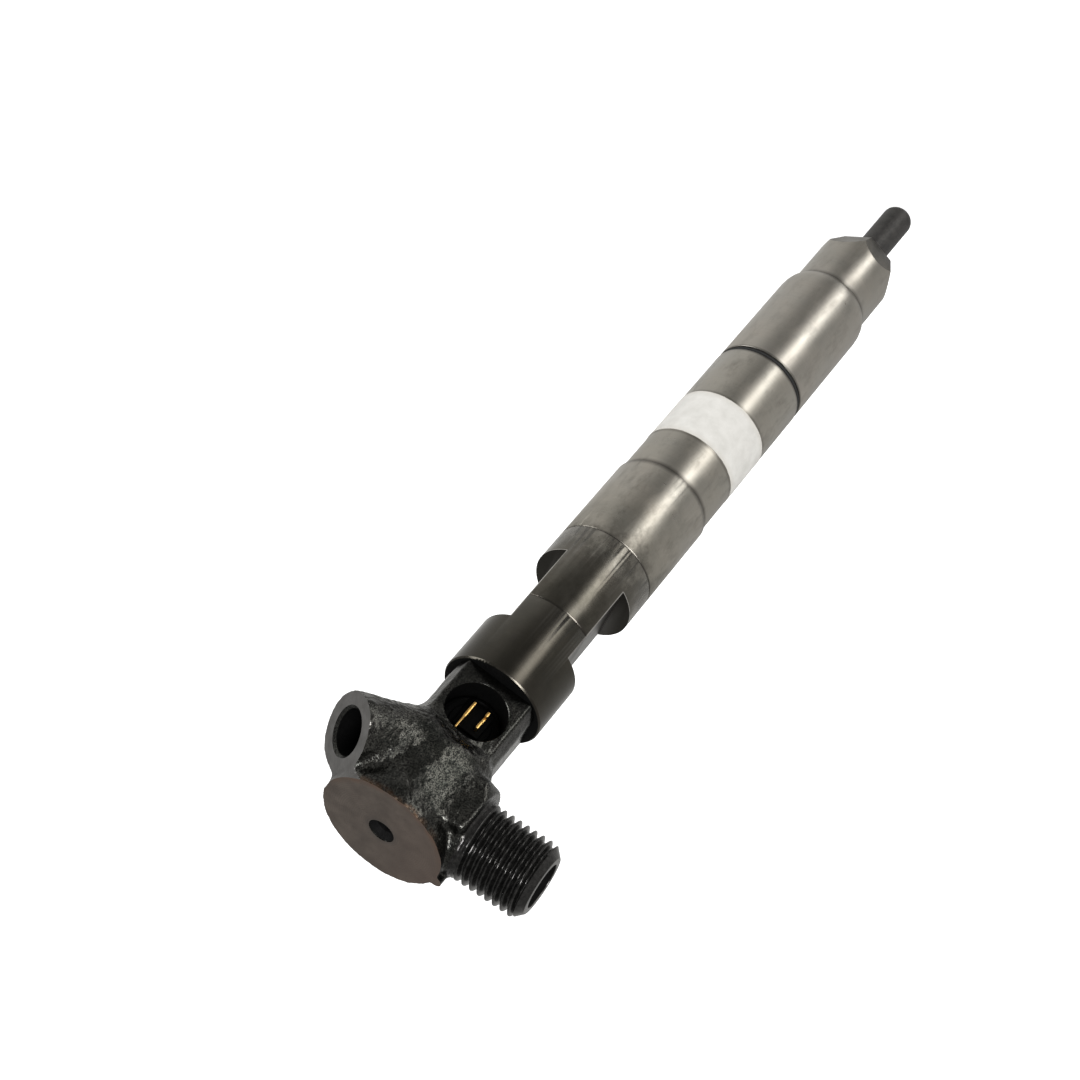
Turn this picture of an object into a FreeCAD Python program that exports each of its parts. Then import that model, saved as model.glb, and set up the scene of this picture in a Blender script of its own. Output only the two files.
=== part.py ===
import FreeCAD, Part
import math
import os

os.makedirs("parts", exist_ok=True)

# Solenoid fuel injector, standing as installed. Millimetres, +Z towards the head,
# origin at the centre of the cap nut's seat face. The connector socket faces -Y.

# Nozzle
STEM_R = 3.15
STEM_ROOT_R = 3.5
STEM_END_Z = 0.1
NECK_Z = 2.7
TIP_Z = -16.5
TIP_ROUND = 2.2
SAC_R = 0.45
SAC_Z = -15.3
NEEDLE_SEAT_Z = -14.6
SEAT_HALF_ANGLE = 30.0
STEM_BORE_R = 1.75
GALLERY_R = 2.8
NEEDLE_GUIDE_R = 2.0
SPRING_CHAMBER_R = 3.2
NOZZLE_NECK_R = 5.05
NOZZLE_R = 6.6
NOZZLE_SHOULDER_Z = 5.0
NOZZLE_TOP_Z = 18.0
SPRAY_HOLES = 6
SPRAY_HOLE_R = 0.1
NEEDLE_CLEARANCE = 0.01
NEEDLE_LIFT = 0.25
NEEDLE_STEM_R = 1.15
PISTON_R = 1.4
GUIDE_Z = (8.7, 12.4)
SLEEVE_Z = 16.4
NEEDLE_SLEEVE_R = 2.9
NEEDLE_SPRING_R = 2.2
NEEDLE_SPRING_WIRE_R = 0.35
NEEDLE_SPRING_TURNS = 4

# Cap nut
NUT_R = 9.3
NUT_WAIST_R = 8.15
NUT_TOP_Z = 44.7
NUT_SHOULDER_Z = 17.0
NUT_FULL_Z = 20.7
NUT_FLATS = 6
NUT_END_IN_R = 5.35
NUT_FLATS_TOP_Z = 6.2
NUT_CORNER_AZIMUTH = -20.0
NUT_BORE_R = 6.7
NUT_FLARE = (8.98, 18.35)
NUT_RELIEF_Z = (29.0, 30.2)
NUT_THREAD_R = 7.95
RING_TOP_Z = 45.7
RING_BEVEL = 0.15

# Stack inside the nut
PLATE_TOP_Z = 22.0
VALVE_BODY_TOP_Z = 33.0
FEED_Y = 5.2
FEED_R = 0.75
DOWEL_R = 0.75
DOWEL_PITCH_R = 5.2
DOWEL_CHAMFER = 0.15
LOWER_DOWEL_Z = (15.6, 24.6)
LOWER_DOWEL_START = -18.0
UPPER_DOWEL_Z = (30.4, 35.6)
UPPER_DOWEL_PITCH = 6.35
UPPER_DOWEL_ANGLES = (28.0, 152.0)

# Control valve and solenoid, set off-centre to leave room for the feed bore
SOLENOID_Y = -1.3
SOLENOID_BORE_R = 4.95
SOLENOID_BORE_TOP_Z = 48.4
VALVE_STEM_R = 1.5
VALVE_CLEARANCE = 0.01
VALVE_LIFT = 0.05
ARMATURE_R = 4.2
ARMATURE_Z = 34.0
ARMATURE_T = 1.8
RESIDUAL_GAP = 0.1
CORE_Z = ARMATURE_Z + ARMATURE_T + VALVE_LIFT + RESIDUAL_GAP
CORE_TOP_Z = 47.2
CORE_R = 4.9
POLE_BORE_R = 1.5
SPRING_POCKET_TOP_Z = 44.2
ARMATURE_HUB_R = 1.1
VALVE_HEAD_R = 1.0
VALVE_CHAMBER_R = 2.2
GROOVE_Z = (25.9, 28.9)
GROOVE_DEPTH = 0.15
SHIM_T = 0.6
VENT_R = 0.6
VALVE_SPRING_R = 1.05
VALVE_SPRING_WIRE_R = 0.25
VALVE_SPRING_TURNS = 7
COIL_INNER_R = 2.6
COIL_OUTER_R = 4.15
COIL_TOP_Z = 43.6
WINDING_INNER_R = 2.95
WINDING_Z = (36.8, 42.9)
WINDING_TURNS = 14
WASHER_T = 0.45
WASHER_R = (4.0, 4.75)

# Holder body
SPIGOT_R = 7.9
BODY_R = 9.35
COLLAR_B_R = 9.75
COLLAR_A_R = 9.8
COLLAR_B_Z = 81.9
NOTCH_Z = 108.6
COLLAR_A_Z = 126.6
FLATS_Z = 138.1
NOTCH_FLAT_X = 6.2
SCRIBE_LINES_Z = (101.7, 120.8)
SCRIBE_DEPTH = 0.15
SCRIBE_HALF_W = 0.15
EDGE = 0.3

# Head
DISC_R = 11.7
HEAD_TOP_Z = 170.5
DISC_T = 2.4
DRUM_R = 10.5
DRUM_Z = 158.5
SIDE_FLAT_X = 8.0
FRONT_FLAT_Y = -6.7
FRONT_FLAT_HALF_W = 6.55
CORNER_Y = -3.7
FLATS_TOP_Z = 151.0
RAMP_SCALE = 1.62
CENTRE_HOLE_R = 2.5
CENTRE_DRILL_R = 1.2
NIB_R = 1.2

# Inlet M14 x 1.5
INLET_AZIMUTH = 188.0
INLET_Z = 162.5
INLET_LENGTH = 26.5
INLET_R = 7.0
INLET_RIM_R = 5.4
INLET_MOUTH_R = 4.0
INLET_BORE_R = 2.0
INLET_ROOT_R = 8.9
INLET_BOSS_R = 10.0
INLET_CONE_L = (10.4, 12.4, 12.9)
THREAD_PITCH = 1.5
THREAD_DEPTH = 0.92
THREAD_START = 13.8
FILTER_FACE = 22.0
FILTER_LENGTH = 13.0
FILTER_R = 1.98

# Return boss
RETURN_AZIMUTH = -25.5
RETURN_ELEVATION = 36.3
RETURN_Z = 152.0
RETURN_LENGTH = 19.4
RETURN_R = 6.85
RETURN_BORE_R = 4.0
RETURN_BORE_DEPTH = 9.5

# Electrical connector
SOCKET_Z = 145.5
SOCKET_R = 5.54
SOCKET_FLOOR_Y = 0.3
INSERT_R = 5.45
INSERT_T = 2.4
SEAL_Y = -1.38
SEAL_WIRE_R = 0.44
TERMINAL_X = 1.45
TERMINAL_Z = 142.6
TERMINAL_TIP_Y = -4.0
TERMINAL_T = 0.5
TERMINAL_BACK_Y = -1.1
TERMINAL_FOOT = 0.9
TERMINAL_FOOT_Y = -1.7
LONG_BLADE_Z = 148.8
LONG_BLADE_THIN_Z = 146.0
LONG_BLADE_THIN_T = 0.3
LONG_BLADE_BACK_Y = -1.95
SHORT_BLADE_Z = 146.4
SHORT_BLADE_NOTCH_Z = (143.5, 144.9)
BLADE_NOTCH_DEPTH = 0.8
BLOCK_HALF_X = 2.7
BLOCK_T = 0.6
BLOCK_Z = (141.8, 147.5)
CONDUCTOR_R = 0.4
SLEEVE_R = 0.75
CHANNEL_R = 0.8
COIL_EXIT_Y = -4.1
CONDUCTOR_END_Y = -0.4
CONDUCTOR_TOP_Z = 143.6
SLEEVE_TOP_Z = 138.6
DRAIN_XY = (2.7, 1.9)
DRAIN_R = 0.75
FEED_DUCT_R = 1.2

# Label
LABEL_Z = (59.9, 71.8)
LABEL_T = 0.12
LABEL_ANGLES = (-262.0, 80.0)

ORIGIN = FreeCAD.Vector(0, 0, 0)
UP = FreeCAD.Vector(0, 0, 1)
SIDES = {"left": -1, "right": 1}


def vec(x, y, z):
    return FreeCAD.Vector(x, y, z)


def direction(azimuth, elevation):
    a = math.radians(azimuth)
    e = math.radians(elevation)
    return vec(math.cos(a) * math.cos(e), math.sin(a) * math.cos(e), math.sin(e))


def lathe(start, *moves):
    """Revolve a closed (radius, z) outline. A move is a point, or (mid, end) for an arc."""
    edges = []
    here = start
    for move in list(moves) + [start]:
        if isinstance(move[0], tuple):
            mid, end = move
            arc = Part.Arc(vec(here[0], 0, here[1]), vec(mid[0], 0, mid[1]), vec(end[0], 0, end[1]))
            edges.append(arc.toShape())
        else:
            end = move
            edges.append(Part.makeLine(vec(here[0], 0, here[1]), vec(end[0], 0, end[1])))
        here = end
    return Part.Face(Part.Wire(edges)).revolve(ORIGIN, UP, 360)


def ring(outer, inner, z0, z1):
    return lathe((inner, z0), (outer, z0), (outer, z1), (inner, z1))


def disc(radius, z0, z1):
    return Part.makeCylinder(radius, z1 - z0, vec(0, 0, z0))


def pin(radius, z0, z1, chamfer):
    """Solid pin with chamfered ends."""
    return lathe((0, z0), (radius - chamfer, z0), (radius, z0 + chamfer),
                 (radius, z1 - chamfer), (radius - chamfer, z1), (0, z1))


def rod(p0, p1, radius):
    along = p1.sub(p0)
    return Part.makeCylinder(radius, along.Length, p0, along)


def moved(shape, x, y, z=0):
    copy = shape.copy()
    copy.translate(vec(x, y, z))
    return copy


def aimed(shape, base, along):
    """Turn a shape built along +Z so that it runs from base towards along."""
    copy = shape.copy()
    copy.Placement = FreeCAD.Placement(base, FreeCAD.Rotation(UP, along))
    return copy


def around(shape, count, start=0.0):
    """Copies of a shape spread evenly about the Z axis."""
    copies = []
    for i in range(count):
        copy = shape.copy()
        copy.rotate(ORIGIN, UP, start + i * 360.0 / count)
        copies.append(copy)
    return copies


def coil_spring(mean_r, wire_r, z0, z1, turns):
    """Round-wire compression spring between two planes, laid up from half turns."""
    height = z1 - z0 - 2 * wire_r
    pitch = height / turns
    slope = pitch / (2 * math.pi * mean_r)
    circle = Part.Wire(Part.Circle(vec(mean_r, 0, 0), vec(0, 1, slope), wire_r).toShape())
    half = Part.Wire(Part.makeHelix(pitch, pitch / 2, mean_r)).makePipeShell([circle], False, True)
    bottom = Part.Face(circle)
    top = moved(bottom, 0, 0, height)
    faces = [bottom, top]
    for i in range(2 * turns):
        turned = half.copy()
        turned.rotate(ORIGIN, UP, 180.0 * i)
        faces += moved(turned, 0, 0, pitch * i / 2).Faces
    shell = Part.makeShell(faces)
    shell.sewShape()
    spring = Part.Solid(Part.Shell(shell.Faces))
    if spring.Volume < 0:
        spring.reverse()
    return moved(spring, 0, 0, z0 + wire_r)


def dowel_positions(start):
    return [vec(DOWEL_PITCH_R * math.cos(math.radians(a)), DOWEL_PITCH_R * math.sin(math.radians(a)), 0)
            for a in (start, start + 180.0)]


def dowel_holes(z0, z1, start):
    return [moved(disc(DOWEL_R, z0, z1), p.x, p.y) for p in dowel_positions(start)]


def upper_dowel_places():
    return [(UPPER_DOWEL_PITCH * math.cos(math.radians(a)), UPPER_DOWEL_PITCH * math.sin(math.radians(a)))
            for a in UPPER_DOWEL_ANGLES]


# ---------------------------------------------------------------- nozzle


def cone_radius_at(z):
    """Radius of the needle seat cone in the nozzle at height z."""
    return SAC_R + (z - SAC_Z) * math.tan(math.radians(SEAT_HALF_ANGLE))


def seat_top_z():
    return SAC_Z + (STEM_BORE_R - SAC_R) / math.tan(math.radians(SEAT_HALF_ANGLE))


def nozzle_body():
    tip_flat_r = STEM_R - TIP_ROUND
    round_mid = TIP_ROUND * math.sqrt(0.5)
    outside = lathe((0, TIP_Z), (tip_flat_r, TIP_Z),
                    ((tip_flat_r + round_mid, TIP_Z + TIP_ROUND - round_mid), (STEM_R, TIP_Z + TIP_ROUND)),
                    (STEM_R, STEM_END_Z), (STEM_ROOT_R, STEM_END_Z + 0.2), (STEM_ROOT_R, NECK_Z),
                    (NOZZLE_NECK_R - EDGE, NECK_Z), (NOZZLE_NECK_R, NECK_Z + EDGE),
                    (NOZZLE_NECK_R, NOZZLE_SHOULDER_Z), (NOZZLE_R, NOZZLE_SHOULDER_Z),
                    (NOZZLE_R, NOZZLE_TOP_Z - EDGE), (NOZZLE_R - EDGE, NOZZLE_TOP_Z), (0, NOZZLE_TOP_Z))
    inside = lathe((0, SAC_Z - SAC_R), ((SAC_R * 0.707, SAC_Z - SAC_R * 0.707), (SAC_R, SAC_Z)),
                   (STEM_BORE_R, seat_top_z()), (STEM_BORE_R, 5.6),
                   ((GALLERY_R, 6.9), (NEEDLE_GUIDE_R, GUIDE_Z[0])),
                   (NEEDLE_GUIDE_R, GUIDE_Z[1] - 0.4), (SPRING_CHAMBER_R, GUIDE_Z[1] - 0.4),
                   (SPRING_CHAMBER_R, NOZZLE_TOP_Z), (0, NOZZLE_TOP_Z))
    feed = rod(vec(0, FEED_Y, NOZZLE_TOP_Z), vec(0, 1.9, 7.1), FEED_R)
    spray = rod(vec(0, 0, SAC_Z), vec(STEM_R, 0, SAC_Z - 1.3), SPRAY_HOLE_R)
    holes = around(spray, SPRAY_HOLES, 15.0)
    dowels = dowel_holes(LOWER_DOWEL_Z[0] - 0.2, NOZZLE_TOP_Z, LOWER_DOWEL_START)
    return outside.cut([inside, feed] + holes + dowels)


def nozzle_needle():
    """Needle on its seat, with the guide land, feed flats and the control piston above."""
    guide_r = NEEDLE_GUIDE_R - NEEDLE_CLEARANCE
    cone_low = NEEDLE_SEAT_Z + 0.05
    gap = 0.02
    low_r = cone_radius_at(cone_low) - gap
    top_z = cone_low + (NEEDLE_STEM_R - low_r) / math.tan(math.radians(SEAT_HALF_ANGLE))
    needle = lathe((0, cone_low - low_r * 0.8), (low_r, cone_low), (NEEDLE_STEM_R, top_z),
                   (NEEDLE_STEM_R, GUIDE_Z[0] - 1.2), (guide_r - EDGE, GUIDE_Z[0] - 0.2),
                   (guide_r, GUIDE_Z[0] + 0.1), (guide_r, GUIDE_Z[1]),
                   (PISTON_R, GUIDE_Z[1]), (PISTON_R, NOZZLE_TOP_Z - NEEDLE_LIFT - 0.25),
                   (PISTON_R - 0.2, NOZZLE_TOP_Z - NEEDLE_LIFT - 0.05),
                   (0, NOZZLE_TOP_Z - NEEDLE_LIFT - 0.05))
    flat = Part.makeBox(1.0, 2 * guide_r, GUIDE_Z[1] - GUIDE_Z[0] + 3.0,
                        vec(guide_r - 0.35, -guide_r, GUIDE_Z[0] - 1.5))
    return needle.cut(around(flat, 3, 60.0))


def needle_sleeve():
    bore = PISTON_R + NEEDLE_CLEARANCE
    return lathe((bore, SLEEVE_Z), (NEEDLE_SLEEVE_R, SLEEVE_Z), (NEEDLE_SLEEVE_R, NOZZLE_TOP_Z - 0.6),
                 (NEEDLE_SLEEVE_R - 0.4, NOZZLE_TOP_Z), (bore, NOZZLE_TOP_Z))


def needle_spring():
    return coil_spring(NEEDLE_SPRING_R, NEEDLE_SPRING_WIRE_R, GUIDE_Z[1], SLEEVE_Z, NEEDLE_SPRING_TURNS)


def orifice_plate():
    plate = pin(NOZZLE_R, NOZZLE_TOP_Z, PLATE_TOP_Z, EDGE)
    feed = moved(disc(FEED_R, NOZZLE_TOP_Z, PLATE_TOP_Z), 0, FEED_Y)
    outlet = lathe((0, NOZZLE_TOP_Z), (0.9, NOZZLE_TOP_Z), (0.9, NOZZLE_TOP_Z + 1.0),
                   (0.15, NOZZLE_TOP_Z + 1.8), (0.15, PLATE_TOP_Z - 1.0),
                   (0.35, PLATE_TOP_Z - 0.7), (0.35, PLATE_TOP_Z), (0, PLATE_TOP_Z))
    skew = rod(vec(0, SOLENOID_Y, PLATE_TOP_Z), vec(0, 0, PLATE_TOP_Z - 2.0), 0.3)
    inlet = rod(vec(0, FEED_Y - 0.2, NOZZLE_TOP_Z + 2.6), vec(0, 2.0, NOZZLE_TOP_Z), 0.2)
    holes = dowel_holes(NOZZLE_TOP_Z, PLATE_TOP_Z, LOWER_DOWEL_START)
    outlet = outlet.cut(disc(1.0, PLATE_TOP_Z - 1.2, PLATE_TOP_Z))
    return plate.cut([feed, outlet, skew, inlet] + holes)


def lower_dowels():
    z0, z1 = LOWER_DOWEL_Z
    return Part.makeCompound([moved(pin(DOWEL_R, z0, z1, DOWEL_CHAMFER), p.x, p.y)
                              for p in dowel_positions(LOWER_DOWEL_START)])


# ---------------------------------------------------------------- control valve


def valve_body():
    body = pin(NOZZLE_R, PLATE_TOP_Z, VALVE_BODY_TOP_Z, EDGE)
    guide = lathe((0, PLATE_TOP_Z), (VALVE_CHAMBER_R, PLATE_TOP_Z), (VALVE_CHAMBER_R, PLATE_TOP_Z + 2.2),
                  (VALVE_STEM_R, PLATE_TOP_Z + 3.0), (VALVE_STEM_R, VALVE_BODY_TOP_Z), (0, VALVE_BODY_TOP_Z))
    feed = moved(disc(FEED_R, PLATE_TOP_Z, VALVE_BODY_TOP_Z), 0, FEED_Y)
    drain = rod(vec(1.8, SOLENOID_Y, PLATE_TOP_Z + 0.6), vec(3.1, SOLENOID_Y, VALVE_BODY_TOP_Z), 0.5)
    lower = dowel_holes(PLATE_TOP_Z, LOWER_DOWEL_Z[1] + 0.2, LOWER_DOWEL_START)
    notch = [moved(disc(DOWEL_R, UPPER_DOWEL_Z[0], VALVE_BODY_TOP_Z), x, y) for x, y in upper_dowel_places()]
    return body.cut([moved(guide, 0, SOLENOID_Y), feed, drain] + lower + notch)


def valve_stem():
    """Valve with its head on the seat, two lubrication grooves and the spigot for the armature."""
    r = VALVE_STEM_R - VALVE_CLEARANCE
    foot_z = PLATE_TOP_Z + 0.01
    points = [(VALVE_HEAD_R, foot_z), (VALVE_HEAD_R, PLATE_TOP_Z + 2.4), (r, PLATE_TOP_Z + 3.2)]
    for z in GROOVE_Z:
        points += [(r, z), (r - GROOVE_DEPTH, z + 0.1), (r - GROOVE_DEPTH, z + 0.5), (r, z + 0.6)]
    points += [(r, ARMATURE_Z), (ARMATURE_HUB_R, ARMATURE_Z), (ARMATURE_HUB_R, ARMATURE_Z + ARMATURE_T),
               (0, ARMATURE_Z + ARMATURE_T)]
    return moved(lathe((0, foot_z), *points), 0, SOLENOID_Y)


def armature():
    plate = ring(ARMATURE_R, ARMATURE_HUB_R, ARMATURE_Z, ARMATURE_Z + ARMATURE_T)
    slot = Part.makeBox(ARMATURE_R, 0.6, ARMATURE_T, vec(2.4, -0.3, ARMATURE_Z))
    return moved(plate.cut(around(slot, 4, 45.0)), 0, SOLENOID_Y)


def valve_spring():
    spring = coil_spring(VALVE_SPRING_R, VALVE_SPRING_WIRE_R, ARMATURE_Z + ARMATURE_T,
                         SPRING_POCKET_TOP_Z - SHIM_T, VALVE_SPRING_TURNS)
    return moved(spring, 0, SOLENOID_Y)


def valve_spring_shim():
    shim = ring(POLE_BORE_R - 0.05, VENT_R, SPRING_POCKET_TOP_Z - SHIM_T, SPRING_POCKET_TOP_Z)
    return moved(shim, 0, SOLENOID_Y)


def air_gap_ring():
    return moved(ring(SOLENOID_BORE_R - 0.05, ARMATURE_R + 0.2, VALVE_BODY_TOP_Z, CORE_Z), 0, SOLENOID_Y)


def solenoid_core():
    """Pot core with the winding space open towards the armature."""
    core = lathe((0, CORE_Z), (CORE_R, CORE_Z), (CORE_R, CORE_TOP_Z - EDGE),
                 (CORE_R - EDGE, CORE_TOP_Z), (0, CORE_TOP_Z))
    space = ring(COIL_OUTER_R, COIL_INNER_R, CORE_Z, COIL_TOP_Z)
    pocket = disc(POLE_BORE_R, CORE_Z, SPRING_POCKET_TOP_Z)
    vent = disc(VENT_R, SPRING_POCKET_TOP_Z, CORE_TOP_Z)
    core = moved(core.cut([space, pocket, vent]), 0, SOLENOID_Y)
    leads = [conductor_line(s, CHANNEL_R, WINDING_Z[1], SOLENOID_BORE_TOP_Z) for s in SIDES.values()]
    return core.cut(leads)


def coil_bobbin():
    z0, z1 = CORE_Z + 0.15, COIL_TOP_Z
    wall = COIL_INNER_R + 0.05
    rim = COIL_OUTER_R - 0.05
    body = lathe((wall, z0), (rim, z0), (rim, WINDING_Z[0]), (WINDING_INNER_R, WINDING_Z[0]),
                 (WINDING_INNER_R, WINDING_Z[1]), (rim, WINDING_Z[1]), (rim, z1), (wall, z1))
    body = moved(body, 0, SOLENOID_Y)
    leads = [conductor_line(s, CONDUCTOR_R, WINDING_Z[0], CORE_TOP_Z) for s in SIDES.values()]
    return body.cut(leads)


def coil_winding():
    """Wound coil; each layer shows as a row of rounded turns."""
    z0, z1 = WINDING_Z
    pitch = (z1 - z0) / WINDING_TURNS
    outer = COIL_OUTER_R - 0.2
    moves = [(outer - pitch / 2, z0)]
    for i in range(WINDING_TURNS):
        moves.append(((outer, z0 + (i + 0.5) * pitch), (outer - pitch / 2, z0 + (i + 1) * pitch)))
    moves.append((WINDING_INNER_R, z1))
    return moved(lathe((WINDING_INNER_R, z0), *moves), 0, SOLENOID_Y)


def solenoid_disc_spring():
    """Conical washer between the core and the end of the bore."""
    inner, outer = WASHER_R
    washer = lathe((inner, SOLENOID_BORE_TOP_Z - WASHER_T), (outer, CORE_TOP_Z),
                   (outer, CORE_TOP_Z + WASHER_T), (inner, SOLENOID_BORE_TOP_Z))
    return moved(washer, 0, SOLENOID_Y)


def upper_dowels():
    z0, z1 = UPPER_DOWEL_Z
    dowel = pin(DOWEL_R, z0 + 0.1, z1 - 0.1, DOWEL_CHAMFER)
    return Part.makeCompound([moved(dowel, x, y) for x, y in upper_dowel_places()])


# ---------------------------------------------------------------- cap nut


def regular_outline(in_radius, z):
    """Closed outline of the wrench flats at height z."""
    corner_r = in_radius / math.cos(math.pi / NUT_FLATS)
    points = [direction(NUT_CORNER_AZIMUTH + i * 360.0 / NUT_FLATS, 0.0) * corner_r + vec(0, 0, z)
              for i in range(NUT_FLATS)]
    return Part.makePolygon(points + points[:1])


def around_the_flats():
    """What is cut away outside the six tapering wrench flats at the nut's end."""
    slope = (NUT_WAIST_R - NUT_END_IN_R) / NUT_FLATS_TOP_Z
    low, high = -1.0, NUT_FLATS_TOP_Z + 1.0
    taper = Part.makeLoft([regular_outline(NUT_END_IN_R + slope * z, z) for z in (low, high)], True, True)
    return disc(NUT_R + 2.0, low, high).cut(taper)


def nozzle_cap_nut():
    outside = lathe((0, 0), (NUT_WAIST_R, 0), (NUT_WAIST_R, NUT_SHOULDER_Z), (NUT_FLARE, (NUT_R, NUT_FULL_Z)),
                    (NUT_R, NUT_TOP_Z - EDGE), (NUT_R - EDGE, NUT_TOP_Z), (0, NUT_TOP_Z))
    outside = outside.cut(around_the_flats())
    hole_r = STEM_ROOT_R + 0.2
    neck_r = NOZZLE_NECK_R + 0.15
    thread_r = NUT_THREAD_R + 0.15
    low, high = NUT_RELIEF_Z
    inside = lathe((0, 0), (hole_r + 0.2, 0), (hole_r, 0.2), (hole_r, NECK_Z - EDGE), (neck_r, NECK_Z - EDGE),
                   (neck_r, NOZZLE_SHOULDER_Z), (NUT_BORE_R, NOZZLE_SHOULDER_Z), (NUT_BORE_R, low),
                   (thread_r, high), (thread_r, VALVE_BODY_TOP_Z + 1.0),
                   (NUT_THREAD_R, VALVE_BODY_TOP_Z + 1.5), (NUT_THREAD_R, NUT_TOP_Z), (0, NUT_TOP_Z))
    return outside.cut(inside)


def nut_seal_ring():
    inner = NUT_THREAD_R + 0.05
    outer = NUT_R - 0.1
    return lathe((inner, NUT_TOP_Z), (outer - RING_BEVEL, NUT_TOP_Z), (outer, NUT_TOP_Z + RING_BEVEL),
                 (outer, RING_TOP_Z - RING_BEVEL), (outer - RING_BEVEL, RING_TOP_Z), (inner, RING_TOP_Z))


# ---------------------------------------------------------------- holder body


def scribe(radius, z):
    return ring(radius + 1.0, radius - SCRIBE_DEPTH, z - SCRIBE_HALF_W, z + SCRIBE_HALF_W)


def shaft():
    body = lathe((0, VALVE_BODY_TOP_Z), (SPIGOT_R - 0.5, VALVE_BODY_TOP_Z),
                 (SPIGOT_R, VALVE_BODY_TOP_Z + 0.5), (SPIGOT_R, RING_TOP_Z),
                 (BODY_R - EDGE, RING_TOP_Z), (BODY_R, RING_TOP_Z + EDGE),
                 (BODY_R, COLLAR_B_Z), (COLLAR_B_R - 0.1, COLLAR_B_Z), (COLLAR_B_R, COLLAR_B_Z + 0.1),
                 (COLLAR_B_R, NOTCH_Z), (COLLAR_A_R, NOTCH_Z + 0.05), (COLLAR_A_R, FLATS_Z), (0, FLATS_Z))
    return body.cut([scribe(COLLAR_A_R, z) for z in SCRIBE_LINES_Z])


def clamp_notches():
    """Cutters for the two flats that the clamp fork straddles."""
    height = COLLAR_A_Z - NOTCH_Z
    right = Part.makeBox(6.0, 24.0, height, vec(NOTCH_FLAT_X, -12.0, NOTCH_Z))
    return around(right, 2)


def head_outline(scale, z):
    corners = [(-FRONT_FLAT_HALF_W, FRONT_FLAT_Y), (FRONT_FLAT_HALF_W, FRONT_FLAT_Y), (SIDE_FLAT_X, CORNER_Y),
               (SIDE_FLAT_X, 11.0), (-SIDE_FLAT_X, 11.0), (-SIDE_FLAT_X, CORNER_Y)]
    points = [vec(x * scale, y * scale, z) for x, y in corners]
    return Part.makePolygon(points + points[:1])


def forged_head():
    """Drum with connector flats, which run out on a ramp, under the turned disc."""
    rim_z = HEAD_TOP_Z - DISC_T
    drum = lathe((0, FLATS_Z), (COLLAR_A_R, FLATS_Z), (COLLAR_A_R, FLATS_TOP_Z),
                 ((DRUM_R - 0.2, 155.0), (DRUM_R, DRUM_Z)), (DRUM_R, 165.0),
                 ((DRUM_R + 0.25, 167.0), (DISC_R, rim_z)), (DISC_R, HEAD_TOP_Z - 0.25),
                 (DISC_R - 0.25, HEAD_TOP_Z), (0, HEAD_TOP_Z))
    prism = Part.Face(head_outline(1.0, FLATS_Z)).extrude(vec(0, 0, FLATS_TOP_Z - FLATS_Z))
    ramp = Part.makeLoft([head_outline(1.0, FLATS_TOP_Z), head_outline(RAMP_SCALE, DRUM_Z)], True, True)
    above = disc(20.0, DRUM_Z, HEAD_TOP_Z + 1.0)
    return drum.common(prism.fuse([ramp, above]))


def inlet_branch():
    """Threaded stub, built along +Z from the body axis, with its conical root."""
    stub = lathe((0, 0), (INLET_R, 0), (INLET_R, INLET_LENGTH - INLET_R + INLET_RIM_R),
                 (INLET_RIM_R, INLET_LENGTH), (0, INLET_LENGTH))
    root_r = INLET_R - THREAD_DEPTH
    tool_r = INLET_R + 0.1
    half_root = 0.1
    half_top = half_root + (tool_r - root_r) * math.tan(math.radians(30.0))
    groove = Part.makePolygon([vec(root_r, 0, -half_root), vec(tool_r, 0, -half_top),
                               vec(tool_r, 0, half_top), vec(root_r, 0, half_root),
                               vec(root_r, 0, -half_root)])
    height = INLET_LENGTH - THREAD_START + THREAD_PITCH
    helix = Part.Wire(Part.makeHelix(THREAD_PITCH, height, root_r))
    cutter = helix.makePipeShell([groove], True, True)
    if cutter.Volume < 0:
        cutter.reverse()
    cutter.translate(vec(0, 0, THREAD_START))
    return stub.cut(cutter)


def inlet_root():
    root = lathe((0, 0), (INLET_BOSS_R, 0), (INLET_BOSS_R, INLET_CONE_L[0]), (INLET_ROOT_R, INLET_CONE_L[1]),
                 (INLET_R, INLET_CONE_L[2]), (0, INLET_CONE_L[2]))
    turned = aimed(root, vec(0, 0, INLET_Z), direction(INLET_AZIMUTH, 0.0))
    return turned.common(disc(30.0, FLATS_TOP_Z, INLET_Z + 1.5))


def centre_mark():
    return lathe((0, HEAD_TOP_Z - 5.0), (CENTRE_DRILL_R, HEAD_TOP_Z - 4.4),
                 (CENTRE_DRILL_R, HEAD_TOP_Z - 2.0),
                 ((CENTRE_HOLE_R - 0.45, HEAD_TOP_Z - 0.9), (CENTRE_HOLE_R, HEAD_TOP_Z)), (0, HEAD_TOP_Z))


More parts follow.
